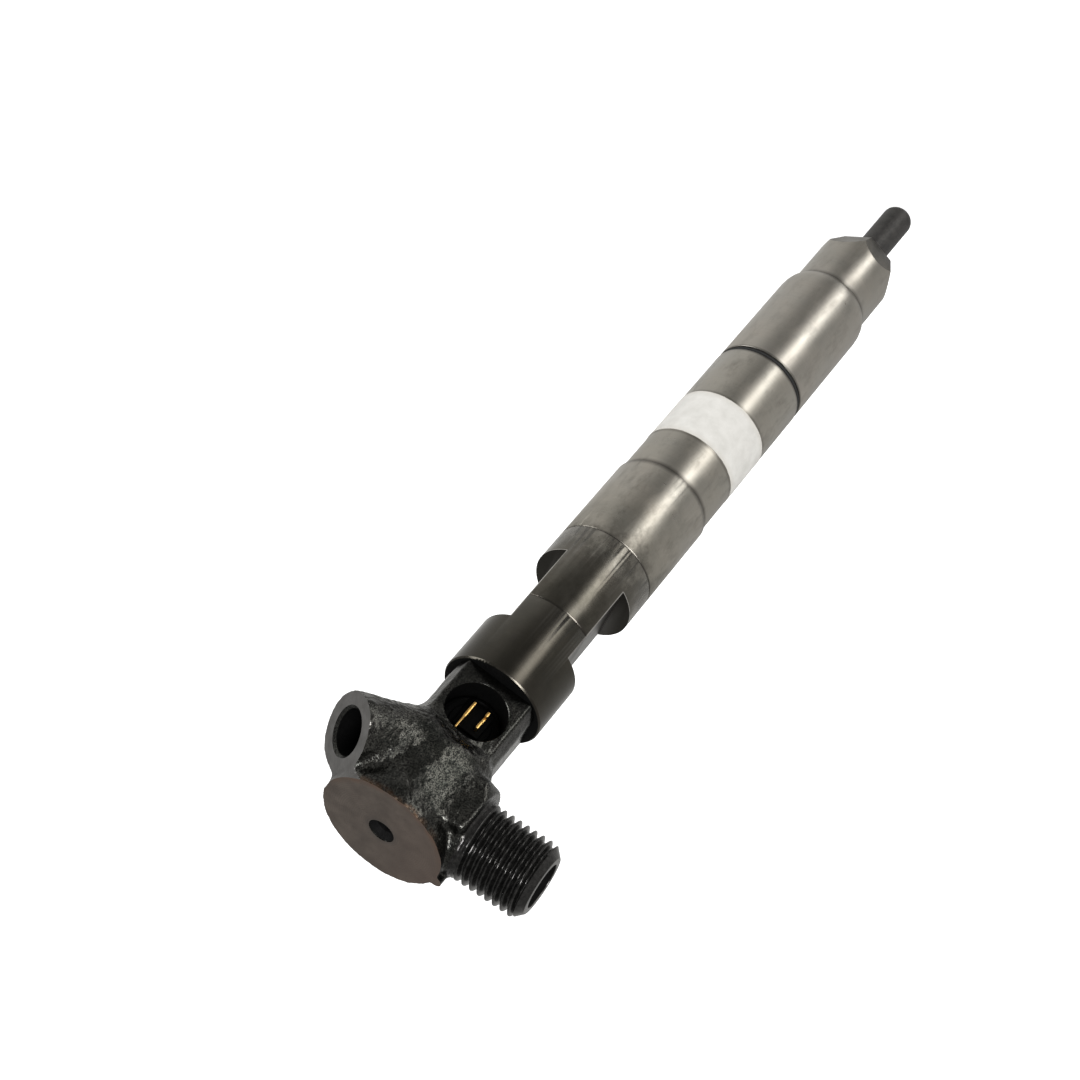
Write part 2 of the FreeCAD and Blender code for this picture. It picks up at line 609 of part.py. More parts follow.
def bores(inlet_dir, return_dir):
    """All drilled passages of the holder body."""
    inlet = lathe((0, 1.0), (INLET_BORE_R, 2.0), (INLET_BORE_R, INLET_LENGTH - 3.0),
                  (INLET_MOUTH_R, INLET_LENGTH), (0, INLET_LENGTH))
    port_end = RETURN_LENGTH - RETURN_BORE_DEPTH
    port = lathe((0, port_end - 1.5), (RETURN_BORE_R, port_end), (RETURN_BORE_R, RETURN_LENGTH - 0.6),
                 (RETURN_BORE_R + 0.6, RETURN_LENGTH), (0, RETURN_LENGTH))
    inlet_base = vec(0, 0, INLET_Z)
    return_base = vec(0, 0, RETURN_Z)
    port_floor = return_base + return_dir * (port_end - 0.8)
    low_feed = rod(vec(0, FEED_Y, VALVE_BODY_TOP_Z), vec(0, FEED_Y, 62.0), FEED_R)
    feed = rod(vec(0, FEED_Y, 60.0), vec(0, FEED_Y, 150.0), FEED_DUCT_R)
    feed_top = rod(vec(0, FEED_Y, 149.5), inlet_base + inlet_dir * 3.2, FEED_DUCT_R)
    drain = rod(vec(*DRAIN_XY, SOLENOID_BORE_TOP_Z), vec(*DRAIN_XY, 150.5), DRAIN_R)
    drain_top = rod(vec(*DRAIN_XY, 150.0), port_floor, DRAIN_R)
    solenoid = moved(disc(SOLENOID_BORE_R, VALVE_BODY_TOP_Z, SOLENOID_BORE_TOP_Z), 0, SOLENOID_Y)
    socket = rod(vec(0, FRONT_FLAT_Y - 3.0, SOCKET_Z), vec(0, SOCKET_FLOOR_Y, SOCKET_Z), SOCKET_R)
    dowel_hole = disc(DOWEL_R, VALVE_BODY_TOP_Z, UPPER_DOWEL_Z[1])
    notches = [moved(dowel_hole, x, y) for x, y in upper_dowel_places()]
    channels = [conductor_line(s, CHANNEL_R, COIL_TOP_Z, SLEEVE_TOP_Z) for s in SIDES.values()]
    channels += [conductor_line(s, CONDUCTOR_R + 0.05, COIL_TOP_Z, TERMINAL_Z) for s in SIDES.values()]
    return [aimed(inlet, inlet_base, inlet_dir), aimed(port, return_base, return_dir), low_feed, feed,
            feed_top, drain, drain_top, solenoid, socket, centre_mark()] + notches + channels


def holder_body():
    inlet_dir = direction(INLET_AZIMUTH, 0.0)
    return_dir = direction(RETURN_AZIMUTH, RETURN_ELEVATION)
    stub = aimed(inlet_branch(), vec(0, 0, INLET_Z), inlet_dir)
    boss = lathe((0, 0), (RETURN_R, 0), (RETURN_R, RETURN_LENGTH - 0.2), (RETURN_R - 0.2, RETURN_LENGTH),
                 (0, RETURN_LENGTH))
    boss = aimed(boss, vec(0, 0, RETURN_Z), return_dir)
    nib = Part.makeCylinder(NIB_R, 2.0, vec(-DISC_R + 0.4, 2.0, HEAD_TOP_Z - 2.3))
    body = shaft().cut(clamp_notches())
    body = body.fuse([forged_head(), inlet_root(), boss, nib, stub])
    return body.cut(bores(inlet_dir, return_dir)).removeSplitter()


# ---------------------------------------------------------------- connector


def on_conductor(side, z):
    """Point at height z on the straight drilled line from the coil up to the socket."""
    share = (z - WINDING_Z[1]) / (CONDUCTOR_TOP_Z - WINDING_Z[1])
    return vec(side * TERMINAL_X, COIL_EXIT_Y + share * (CONDUCTOR_END_Y - COIL_EXIT_Y), z)


def conductor_line(side, radius, z0, z1):
    return rod(on_conductor(side, z0), on_conductor(side, z1), radius)


def conductor(side):
    return conductor_line(side, CONDUCTOR_R, WINDING_Z[1] + 0.05, CONDUCTOR_TOP_Z)


def conductor_sleeve(side):
    """Moulded tube that insulates the conductor in its channel."""
    tube = conductor_line(side, SLEEVE_R, COIL_TOP_Z + 0.1, SLEEVE_TOP_Z)
    return tube.cut(conductor_line(side, CONDUCTOR_R, WINDING_Z[0], CONDUCTOR_TOP_Z))


def connector_insert():
    """Round moulding with a raised block round the blades and a groove for the seal."""
    back = SOCKET_FLOOR_Y
    front = back - INSERT_T
    groove_mid = back - SEAL_Y
    groove_low = groove_mid - SEAL_WIRE_R - 0.04
    groove_high = groove_mid + SEAL_WIRE_R + 0.04
    groove_r = INSERT_R - 2 * SEAL_WIRE_R - 0.05
    base = lathe((0, 0), (INSERT_R, 0), (INSERT_R, groove_low), (groove_r, groove_low),
                 (groove_r, groove_high), (INSERT_R, groove_high), (INSERT_R, INSERT_T - 0.15),
                 (INSERT_R - 0.15, INSERT_T), (0, INSERT_T))
    base = aimed(base, vec(0, back, SOCKET_Z), vec(0, -1, 0))
    block = Part.makeBox(2 * BLOCK_HALF_X, BLOCK_T, BLOCK_Z[1] - BLOCK_Z[0],
                         vec(-BLOCK_HALF_X, front - BLOCK_T, BLOCK_Z[0]))
    block = block.makeFillet(0.4, [e for e in block.Edges if abs(e.tangentAt(0).y) > 0.9])
    insert = base.fuse(block)
    for side in SIDES.values():
        insert = insert.cut(terminal(side).fuse(conductor(side)).removeSplitter())
    return insert


def connector_seal():
    return Part.makeTorus(INSERT_R - SEAL_WIRE_R + 0.02, SEAL_WIRE_R, vec(0, SEAL_Y, SOCKET_Z), vec(0, 1, 0))


def blade(x, thickness, back_y, z0, z1):
    """Flat tongue from its back edge inside the insert out to the tip, between two heights."""
    corner = vec(x - thickness / 2, TERMINAL_TIP_Y, z0)
    return Part.makeBox(thickness, back_y - TERMINAL_TIP_Y, z1 - z0, corner)


def terminal(side):
    """Gilded blade standing edge-on beside its twin, on a foot that the conductor is soldered through.

    One blade is long and thinned at its end, the other is short and has a notch in its edge.
    """
    foot_y = SOCKET_FLOOR_Y - 0.15
    z0 = TERMINAL_Z - TERMINAL_T / 2
    x = side * TERMINAL_X
    foot = Part.makeBox(2 * TERMINAL_FOOT, foot_y - TERMINAL_FOOT_Y, TERMINAL_T,
                        vec(x - TERMINAL_FOOT, TERMINAL_FOOT_Y, z0))
    if side > 0:
        tongue = blade(x, TERMINAL_T, TERMINAL_BACK_Y, z0, LONG_BLADE_THIN_Z)
        tongue = tongue.fuse(blade(x, LONG_BLADE_THIN_T, LONG_BLADE_BACK_Y, LONG_BLADE_THIN_Z, LONG_BLADE_Z))
    else:
        low, high = SHORT_BLADE_NOTCH_Z
        notch = Part.makeBox(2.0, BLADE_NOTCH_DEPTH, high - low, vec(x - 1.0, TERMINAL_TIP_Y, low))
        tongue = blade(x, TERMINAL_T, TERMINAL_BACK_Y, z0, SHORT_BLADE_Z).cut(notch)
    return tongue.fuse(foot).removeSplitter().cut(conductor(side))


# ---------------------------------------------------------------- filter and label


def inlet_filter():
    """Fluted rod; fuel crosses its thin lands from one set of grooves to the other."""
    rod_z = pin(FILTER_R, 0, FILTER_LENGTH, 0.2)
    groove = Part.makeBox(0.7, 0.7, FILTER_LENGTH - 1.5, vec(FILTER_R - 0.55, -0.35, 0))
    inlet_grooves = [moved(g, 0, 0, 1.5) for g in around(groove, 3, 0.0)]
    outlet_grooves = around(groove, 3, 60.0)
    lands = ring(FILTER_R + 1.0, FILTER_R - 0.03, 1.2, FILTER_LENGTH - 1.2)
    body = rod_z.cut(inlet_grooves + outlet_grooves + [lands])
    inlet_dir = direction(INLET_AZIMUTH, 0.0)
    return aimed(body, vec(0, 0, INLET_Z) + inlet_dir * (FILTER_FACE - FILTER_LENGTH), inlet_dir)


def label():
    sheet = ring(BODY_R + LABEL_T, BODY_R, LABEL_Z[0], LABEL_Z[1])
    a0, a1 = LABEL_ANGLES
    sector = Part.makeCylinder(20.0, LABEL_Z[1] - LABEL_Z[0], vec(0, 0, LABEL_Z[0]), UP, a1 - a0)
    sector.rotate(ORIGIN, UP, a0)
    return sheet.common(sector)


def write(name, shape):
    shape.exportStep("parts/" + name + ".step")


NODES = {
    "holder_body": holder_body,
    "nozzle_cap_nut": nozzle_cap_nut,
    "nut_seal_ring": nut_seal_ring,
    "nozzle_body": nozzle_body,
    "nozzle_needle": nozzle_needle,
    "needle_spring": needle_spring,
    "needle_sleeve": needle_sleeve,
    "orifice_plate": orifice_plate,
    "lower_dowels": lower_dowels,
    "valve_body": valve_body,
    "upper_dowels": upper_dowels,
    "valve_stem": valve_stem,
    "armature": armature,
    "valve_spring": valve_spring,
    "valve_spring_shim": valve_spring_shim,
    "air_gap_ring": air_gap_ring,
    "solenoid_core": solenoid_core,
    "coil_bobbin": coil_bobbin,
    "coil_winding": coil_winding,
    "solenoid_disc_spring": solenoid_disc_spring,
    "connector_insert": connector_insert,
    "connector_seal": connector_seal,
    "inlet_filter": inlet_filter,
    "label": label,
}

for name, make in NODES.items():
    write(name, make())

for name, side in SIDES.items():
    write("conductor_" + name, conductor(side))
    write("conductor_sleeve_" + name, conductor_sleeve(side))
    write("terminal_" + name, terminal(side))
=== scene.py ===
import math

import bmesh
import bpy
import numpy as np
from mathutils import Matrix, Vector, noise


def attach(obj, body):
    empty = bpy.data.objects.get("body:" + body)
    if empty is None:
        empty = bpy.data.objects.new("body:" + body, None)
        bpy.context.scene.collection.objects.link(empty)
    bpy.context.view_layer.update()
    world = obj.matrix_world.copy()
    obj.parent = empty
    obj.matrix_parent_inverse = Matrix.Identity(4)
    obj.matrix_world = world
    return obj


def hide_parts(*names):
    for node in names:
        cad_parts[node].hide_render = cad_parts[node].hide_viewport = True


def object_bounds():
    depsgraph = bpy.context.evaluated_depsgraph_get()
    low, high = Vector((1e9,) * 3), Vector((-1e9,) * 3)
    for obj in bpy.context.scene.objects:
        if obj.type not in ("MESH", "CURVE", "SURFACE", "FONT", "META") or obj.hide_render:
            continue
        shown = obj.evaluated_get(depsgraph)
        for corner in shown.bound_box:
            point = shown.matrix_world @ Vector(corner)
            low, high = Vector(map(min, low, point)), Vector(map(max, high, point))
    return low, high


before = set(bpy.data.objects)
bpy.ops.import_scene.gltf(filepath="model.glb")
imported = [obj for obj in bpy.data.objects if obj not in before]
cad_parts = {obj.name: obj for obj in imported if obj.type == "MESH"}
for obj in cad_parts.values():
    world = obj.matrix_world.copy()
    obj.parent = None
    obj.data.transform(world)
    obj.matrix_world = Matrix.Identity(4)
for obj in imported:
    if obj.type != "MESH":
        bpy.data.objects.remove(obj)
cad_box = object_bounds()

# Fuel injector, built in millimetres in the row frame and scaled to metres at the end.
MM = 0.001
SEGMENTS = 192

BODY_R = 9.35
COLLAR_R = 9.78
NOTCH_Z = (108.6, 126.6)
NOTCH_FLAT_X = 6.2
FLATS_Z = 138.1
HEAD_TOP_Z = 170.5
DISC_R = 11.7

INLET_AZIMUTH = math.radians(188.0)
INLET_Z = 162.5
INLET_LENGTH = 26.5
INLET_R = 7.0
THREAD_PITCH = 1.5
THREAD_DEPTH = 0.92

RETURN_AZIMUTH = math.radians(-25.5)
RETURN_ELEVATION = math.radians(36.3)
RETURN_Z = 152.0
RETURN_LENGTH = 19.4
RETURN_R = 6.85
RETURN_BORE_R = 4.0

SOCKET_Z = 145.5
SOCKET_R = 5.54
SOCKET_FLOOR_Y = 0.3

# Blades: x from the axis, y from tip to back, z from the foot up.
BLADE_X = 1.45
BLADE_T = 0.5
BLADE_THIN_T = 0.3
BLADE_TIP_Y = -4.0
BLADE_BACK_Y = -1.1
BLADE_LOW_Z = 142.35
LONG_BLADE_STEP_Z = 146.0
LONG_BLADE_TOP_Z = 148.8
SHORT_BLADE_TOP_Z = 146.4

SPIGOT_R = 7.9
RING_Z = (44.7, 45.7)
SCRIBE_Z = (101.7, 120.8)
COLLAR_LOW_Z = 81.9

NUT_R = 9.3
NUT_WAIST_R = 8.15
NUT_WAIST_TOP_Z = 17.0
NUT_END_IN_R = 5.35
NUT_FLATS_TOP_Z = 6.2
NUT_CORNER_AZIMUTH = -20.0
WRENCH_FLATS = 6

STEM_R = 3.15
STEM_TIP_Z = -16.5
STEM_TIP_ROUND = 2.2

LABEL_Z = (59.9, 71.8)
LABEL_ANGLES = (-262.0, 80.0)

INLET_DIR = np.array([math.cos(INLET_AZIMUTH), math.sin(INLET_AZIMUTH), 0.0])
RETURN_DIR = np.array([math.cos(RETURN_AZIMUTH) * math.cos(RETURN_ELEVATION),
                       math.sin(RETURN_AZIMUTH) * math.cos(RETURN_ELEVATION), math.sin(RETURN_ELEVATION)])
INLET_BASE = np.array([0.0, 0.0, INLET_Z])
RETURN_BASE = np.array([0.0, 0.0, RETURN_Z])
NIB = np.array([-11.7, 2.4, 167.8])

# Material slots of the holder, in the order of its material list.
SHAFT, FORGING, DISC, SPOT_FACE, THREAD, SHADE_BLACK, CENTRE_MARK, NOTCH, RIM_HIGHLIGHT = range(9)


# ------------------------------------------------------------------ mesh tools


def new_object(name, verts, faces):
    mesh = bpy.data.meshes.new(name)
    corners = [tuple(v) for v in np.asarray(verts, float)]
    mesh.from_pydata(corners, [], [tuple(int(i) for i in f) for f in faces])
    mesh.validate()
    mesh.update()
    obj = bpy.data.objects.new(name, mesh)
    bpy.context.scene.collection.objects.link(obj)
    return obj


def grid_faces(rows, columns):
    """Quads of a closed-round grid: rows along the axis, columns round it."""
    i, j = np.meshgrid(np.arange(rows - 1), np.arange(columns), indexing="ij")
    a = i * columns + j
    b = i * columns + (j + 1) % columns
    return np.stack([a, b, b + columns, a + columns], -1).reshape(-1, 4)


def axis_frame(along):
    """Columns are two directions across and the direction itself."""
    z = np.array(along, float)
    z /= np.linalg.norm(z)
    side = np.array([0.0, 0.0, 1.0]) if abs(z[2]) < 0.9 else np.array([1.0, 0.0, 0.0])
    x = np.cross(side, z)
    x /= np.linalg.norm(x)
    return np.stack([x, np.cross(z, x), z], 1)


def lathe(name, profile, segments=SEGMENTS, base=(0, 0, 0), along=(0, 0, 1)):
    """Closed solid of revolution from an outline that starts and ends on the axis."""
    inner = profile[1:-1]
    angle = np.arange(segments) * 2 * math.pi / segments
    rows = [np.stack([r * np.cos(angle), r * np.sin(angle), np.full(segments, z)], 1) for r, z in inner]
    verts = np.concatenate(rows + [np.array([[0, 0, profile[0][1]]]), np.array([[0, 0, profile[-1][1]]])])
    faces = [tuple(f) for f in grid_faces(len(inner), segments)]
    low, high = len(verts) - 2, len(verts) - 1
    last = (len(inner) - 1) * segments
    for j in range(segments):
        k = (j + 1) % segments
        faces.append((low, k, j))
        faces.append((high, last + j, last + k))
    return new_object(name, verts @ axis_frame(along).T + np.array(base, float), faces)


def tube(name, profile, segments=SEGMENTS):
    """Closed ring from an outline that goes right round."""
    angle = np.arange(segments) * 2 * math.pi / segments
    rows = [np.stack([r * np.cos(angle), r * np.sin(angle), np.full(segments, z)], 1) for r, z in profile]
    count = len(profile)
    faces = [tuple(f) for f in grid_faces(count, segments)]
    for j in range(segments):
        k = (j + 1) % segments
        faces.append(((count - 1) * segments + j, (count - 1) * segments + k, k, j))
    return new_object(name, np.concatenate(rows), faces)


def block(name, low, high):
    low, high = np.array(low, float), np.array(high, float)
    corners = [[(low, high)[b][a] for a, b in enumerate(bits)] for bits in
               ((0, 0, 0), (1, 0, 0), (1, 1, 0), (0, 1, 0), (0, 0, 1), (1, 0, 1), (1, 1, 1), (0, 1, 1))]
    faces = [(0, 3, 2, 1), (4, 5, 6, 7), (0, 1, 5, 4), (1, 2, 6, 5), (2, 3, 7, 6), (3, 0, 4, 7)]
    return new_object(name, corners, faces)


def outward(obj):
    work = bmesh.new()
    work.from_mesh(obj.data)
    bmesh.ops.recalc_face_normals(work, faces=work.faces)
    work.to_mesh(obj.data)
    work.free()
    return obj


def tidied(obj, distance=0.004):
    """Merge the needle-thin triangles that booleans leave behind."""
    work = bmesh.new()
    work.from_mesh(obj.data)
    bmesh.ops.remove_doubles(work, verts=work.verts, dist=distance)
    bmesh.ops.dissolve_degenerate(work, edges=work.edges, dist=distance)
    work.to_mesh(obj.data)
    work.free()
    return obj


def baked(obj):
    """Replace the object's mesh by its evaluated one."""
    graph = bpy.context.evaluated_depsgraph_get()
    mesh = bpy.data.meshes.new_from_object(obj.evaluated_get(graph))
    obj.modifiers.clear()
    obj.data = mesh
    return obj


def boolean(obj, tools, operation="DIFFERENCE"):
    for tool in tools:
        outward(tool)
        mod = obj.modifiers.new("cut", "BOOLEAN")
        mod.operation = operation
        mod.solver = "MANIFOLD"
        mod.object = tool
        baked(obj)
        bpy.data.objects.remove(tool)
    return obj


def bevelled(obj, width, segments=2, angle=35.0):
    mod = obj.modifiers.new("edge", "BEVEL")
    mod.width = width
    mod.segments = segments
    mod.limit_method = "ANGLE"
    mod.angle_limit = math.radians(angle)
    mod.harden_normals = False
    return baked(obj)


def finished(obj, body, materials, replaces=(), sharp=32.0, choose=None, flat=()):
    """Scale to metres, shade, give materials and hang the piece on its CAD body."""
    mesh = obj.data
    mesh.transform(Matrix.Scale(MM, 4))
    mesh.polygons.foreach_set("use_smooth", np.ones(len(mesh.polygons), bool))
    mesh.set_sharp_from_angle(angle=math.radians(sharp))
    mesh.materials.clear()
    for m in materials:
        mesh.materials.append(m)
    index = np.zeros(len(mesh.polygons), np.int32)
    if choose is not None:
        centre = np.zeros(len(mesh.polygons) * 3)
        normal = np.zeros(len(mesh.polygons) * 3)
        mesh.polygons.foreach_get("center", centre)
        mesh.polygons.foreach_get("normal", normal)
        index = choose(centre.reshape(-1, 3) / MM, normal.reshape(-1, 3)).astype(np.int32)
    mesh.polygons.foreach_set("material_index", index)
    if flat:
        mesh.polygons.foreach_set("use_smooth", ~np.isin(index, flat))
    mesh.update()
    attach(obj, body)
    if replaces:
        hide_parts(*replaces)
    return obj


# ------------------------------------------------------------------ signed distance forging


def smooth_max(a, b, k):
    h = np.clip(0.5 + 0.5 * (a - b) / k, 0, 1)
    return b + (a - b) * h + k * h * (1 - h)


def smooth_min(a, b, k):
    return -smooth_max(-a, -b, k)


def step(x, low, high):
    t = np.clip((x - low) / (high - low), 0, 1)
    return t * t * (3 - 2 * t)


def capped_bar(points, base, along, radius, low, high, k):
    """Distance to a round bar whose radius may vary along it."""
    rel = points - base
    height = rel @ along
    radial = np.linalg.norm(rel - height[..., None] * along, axis=-1)
    r = radius(height) if callable(radius) else radius
    return smooth_max(smooth_max(radial - r, height - high, k), low - height, k)


def forging_distance(p):
    """Signed distance to the head: drum, connector flats, return boss, nib and inlet root, all blended."""
    x, y, z = p[..., 0], p[..., 1], p[..., 2]
    radial = np.hypot(x, y)
    drum_r = 9.8 + 0.75 * step(z, 150.0, 158.0) + 1.15 * step(z, 162.5, 169.5) ** 1.4
    drum = radial - drum_r
    rise = 0.62 * np.maximum(z - 150.6, 0) ** 1.25
    front = -y - 6.7 - rise
    bevel = np.abs(x) * 0.9 - y * 0.435 - 8.81 - 0.9 * rise
    sides = np.abs(x) - 8.0 - 0.8 * rise
    flats = smooth_max(smooth_max(front, bevel, 0.35), sides, 0.35)
    drum = smooth_max(drum, flats, 0.3 + 0.9 * step(z, 150.0, 154.0))
    ret = capped_bar(p, RETURN_BASE, RETURN_DIR, RETURN_R, -2.0, RETURN_LENGTH + 3.0, 0.3)
    body = smooth_min(drum, ret, 2.3)
    nib = capped_bar(p, NIB, np.array([0.0, 0.0, 1.0]), 1.25, 0.0, 6.0, 0.3)
    body = smooth_min(body, nib, 0.6)
    root = capped_bar(p, INLET_BASE, INLET_DIR,
                      lambda h: np.where(h < 10.4, 10.0 - 0.03 * (10.4 - h), 10.0 - 0.62 * (h - 10.4)),
                      -1.0, 12.3, 0.25)
    rel = p - INLET_BASE
    across = rel @ np.array([-INLET_DIR[1], INLET_DIR[0], 0.0])
    facets = smooth_max(np.abs(across) - 8.6, -rel[..., 2] * 0.92 + np.abs(across) * 0.39 - 9.2, 0.3)
    root = smooth_max(root, facets, 0.4)
    root = smooth_max(root, rel[..., 2] - 4.2, 1.2)
    body = smooth_min(body, root, 1.4)
    shank = capped_bar(p, INLET_BASE, INLET_DIR, 7.15, -1.0, 12.9, 0.2)
    body = smooth_min(body, shank, 0.6)
    return smooth_max(body, 136.5 - z, 0.1)


def surface_nets(field, origin, h):
    """Quad mesh of the zero surface, one vertex in each cell that it crosses."""
    inside = field < 0
    corners = [(i, j, k) for i in (0, 1) for j in (0, 1) for k in (0, 1)]
    nx, ny, nz = field.shape
    total = sum(inside[i:nx - 1 + i, j:ny - 1 + j, k:nz - 1 + k].astype(np.int8) for i, j, k in corners)
    cells = np.argwhere((total > 0) & (total < 8))
    index = -np.ones((nx - 1, ny - 1, nz - 1), np.int64)
    index[tuple(cells.T)] = np.arange(len(cells))
    place = np.zeros((len(cells), 3))
    count = np.zeros(len(cells))
    for a in corners:
        for axis in range(3):
            if a[axis]:
                continue
            b = tuple(a[n] + (n == axis) for n in range(3))
            fa = field[tuple((cells + a).T)]
            fb = field[tuple((cells + b).T)]
            hit = (fa < 0) != (fb < 0)
            t = fa[hit] / (fa[hit] - fb[hit])
            point = np.tile(np.array(a, float), (hit.sum(), 1))
            point[:, axis] += t
            place[hit] += point
            count[hit] += 1
    verts = (cells + place / count[:, None]) * h + origin
    quads = []
    for axis in range(3):
        u, v = (axis + 1) % 3, (axis + 2) % 3
        first = [slice(1, None)] * 3
        second = [slice(1, None)] * 3
        first[axis] = slice(0, -1)
        crossing = inside[tuple(first)] != inside[tuple(second)]
        edge = np.argwhere(crossing)
        for n in (u, v):
            edge[:, n] += 1
        keep = np.ones(len(edge), bool)
        for n in range(3):
            keep &= edge[:, n] < field.shape[n] - 1
        edge = edge[keep]
        low_in = inside[tuple(edge.T)]
        back_u, back_v = edge.copy(), edge.copy()
        back_u[:, u] -= 1
        back_v[:, v] -= 1
        both = back_u.copy()
        both[:, v] -= 1
        quad = np.stack([index[tuple(e.T)] for e in (both, back_v, edge, back_u)], 1)
        quad[~low_in] = quad[~low_in][:, ::-1]
        quads.append(quad)
    return verts, np.concatenate(quads)


def forged_skin(verts, normals, rough):
    """Hammered unevenness of a drop forging, fading where it has been machined."""
    out = np.empty(len(verts))
    for n, v in enumerate(verts):
        p = Vector(v)
        swell = noise.noise(p * 0.35) * 0.16
        dents = noise.noise(p * 1.1 + Vector((7, 3, 1))) * 0.10
        scale = noise.noise(p * 2.3 + Vector((1, 9, 4))) * 0.06
        pit = min(noise.noise(p * 1.7 + Vector((4, 4, 8))) + 0.25, 0.0) * 0.16
        out[n] = swell + dents + scale + pit
    return verts + normals * (out * rough)[:, None]


def forged_head(h=0.24):
    low = np.array([-14.5, -14.9, 136.0])
    high = np.array([20.7, 13.5, 173.0])
    size = np.ceil((high - low) / h).astype(int)
    axes = [low[n] + h * np.arange(size[n] + 1) for n in range(3)]
    p = np.stack(np.meshgrid(*axes, indexing="ij"), -1)
    field = np.maximum(forging_distance(p), p[..., 2] - 172.0)
    field = np.maximum(field, (p - RETURN_BASE) @ RETURN_DIR - (RETURN_LENGTH + 1.2))
    verts, quads = surface_nets(field, low, h)
    e = 0.05
    shift = [np.array([e if n == m else 0.0 for n in range(3)]) for m in range(3)]
    normals = np.stack([forging_distance(verts + s) - forging_distance(verts - s) for s in shift], 1)
    normals /= np.linalg.norm(normals, axis=1)[:, None] + 1e-9
    rough = 0.35 + 0.65 * step(verts[:, 2], 147.0, 153.0)
    height = (verts - INLET_BASE) @ INLET_DIR
    rough *= 1.0 - 0.7 * step(height, 10.0, 12.0)
    return new_object("forging", forged_skin(verts, normals, rough), quads)


# ------------------------------------------------------------------ turned parts of the holder


def threaded_inlet():
    """High-pressure stub with a real right-hand helical thread that runs out at the shank."""
    per_pitch = 16
    start, full, end = 12.0, 14.6, INLET_LENGTH
    columns = SEGMENTS
    heights = np.arange(start, end - 1.45, THREAD_PITCH / per_pitch)
    angle = np.arange(columns) * 2 * math.pi / columns
    grid_h, grid_a = np.meshgrid(heights, angle, indexing="ij")
    phase = np.mod(grid_h / THREAD_PITCH - grid_a / (2 * math.pi), 1.0)
    flank = np.clip((np.abs(phase - 0.5) * 2 - 0.16) / 0.72, 0, 1)
    flank = flank - 0.035 * np.sin(2 * math.pi * flank)
    depth = THREAD_DEPTH * (1 - flank) * step(grid_h, 13.1, full)
    radius = INLET_R + 0.02 - depth
    dents = np.array([[noise.noise(Vector((math.cos(a) * 3, math.sin(a) * 3, z * 1.5))) for a in angle]
                      for z in heights])
    radius += dents * 0.012
    rings = [np.stack([radius[n] * np.cos(angle), radius[n] * np.sin(angle), heights[n] + 0 * angle], 1)
             for n in range(len(heights))]
    last = heights[-1]
    nose = [(6.6, last + 0.25), (5.95, last + 0.9), (5.62, end - 0.25), (5.4, end - 0.03), (5.2, end)]
    for r, z in nose:
        rings.append(np.stack([r * np.cos(angle), r * np.sin(angle), z + 0 * angle], 1))
    inner = [(6.9, 9.0), (7.02, 11.8)]
    head = [np.stack([r * np.cos(angle), r * np.sin(angle), z + 0 * angle], 1) for r, z in inner]
    verts = np.concatenate(head + rings + [np.array([[0, 0, 9.0]]), np.array([[0, 0, end]])])
    rows = len(head) + len(rings)
    faces = [tuple(f) for f in grid_faces(rows, columns)]
    low, high = len(verts) - 2, len(verts) - 1
    top = (rows - 1) * columns
    for j in range(columns):
        k = (j + 1) % columns
        faces.append((low, k, j))
        faces.append((high, top + j, top + k))
    return new_object("stub", verts @ axis_frame(INLET_DIR).T + INLET_BASE, faces)


def shaft():
    """Turned barrel with its collars, scribed lines and the two clamp notches."""
    ring_top = RING_Z[1]
    profile = [(0, 34.0), (SPIGOT_R, 34.0), (SPIGOT_R, ring_top), (9.0, ring_top), (9.28, 45.78), (BODY_R, 46.0),
               (BODY_R, 64.0), (BODY_R, 81.75), (9.3, COLLAR_LOW_Z), (9.62, 81.93), (9.75, 82.1),
               (9.76, 92.0), (9.76, 101.52), (9.6, 101.6), (9.6, 101.8), (9.76, 101.88),
               (COLLAR_R, 120.62), (9.63, 120.7), (9.63, 120.9), (COLLAR_R, 120.98),
               (COLLAR_R, 137.75), (9.55, FLATS_Z), (0, FLATS_Z)]
    body = lathe("shaft", profile)
    low, high = NOTCH_Z
    sides = ((NOTCH_FLAT_X, 14), (-14, -NOTCH_FLAT_X))
    notches = [block("notch", (x0, -12, low), (x1, 12, high)) for x0, x1 in sides]
    boolean(body, notches)
    return bevelled(body, 0.11)


def round_cutter(name, profile, base, along):
    return lathe(name, profile, 96, base, along)


def half_space(name, base, along):
    """Big flat cutter that faces off what stands beyond base."""
    cutter = block(name, (-30, -30, 0), (30, 30, 30))
    turn = Matrix(axis_frame(along).tolist()).to_4x4()
    cutter.data.transform(Matrix.Translation(Vector(base)) @ turn)
    return cutter


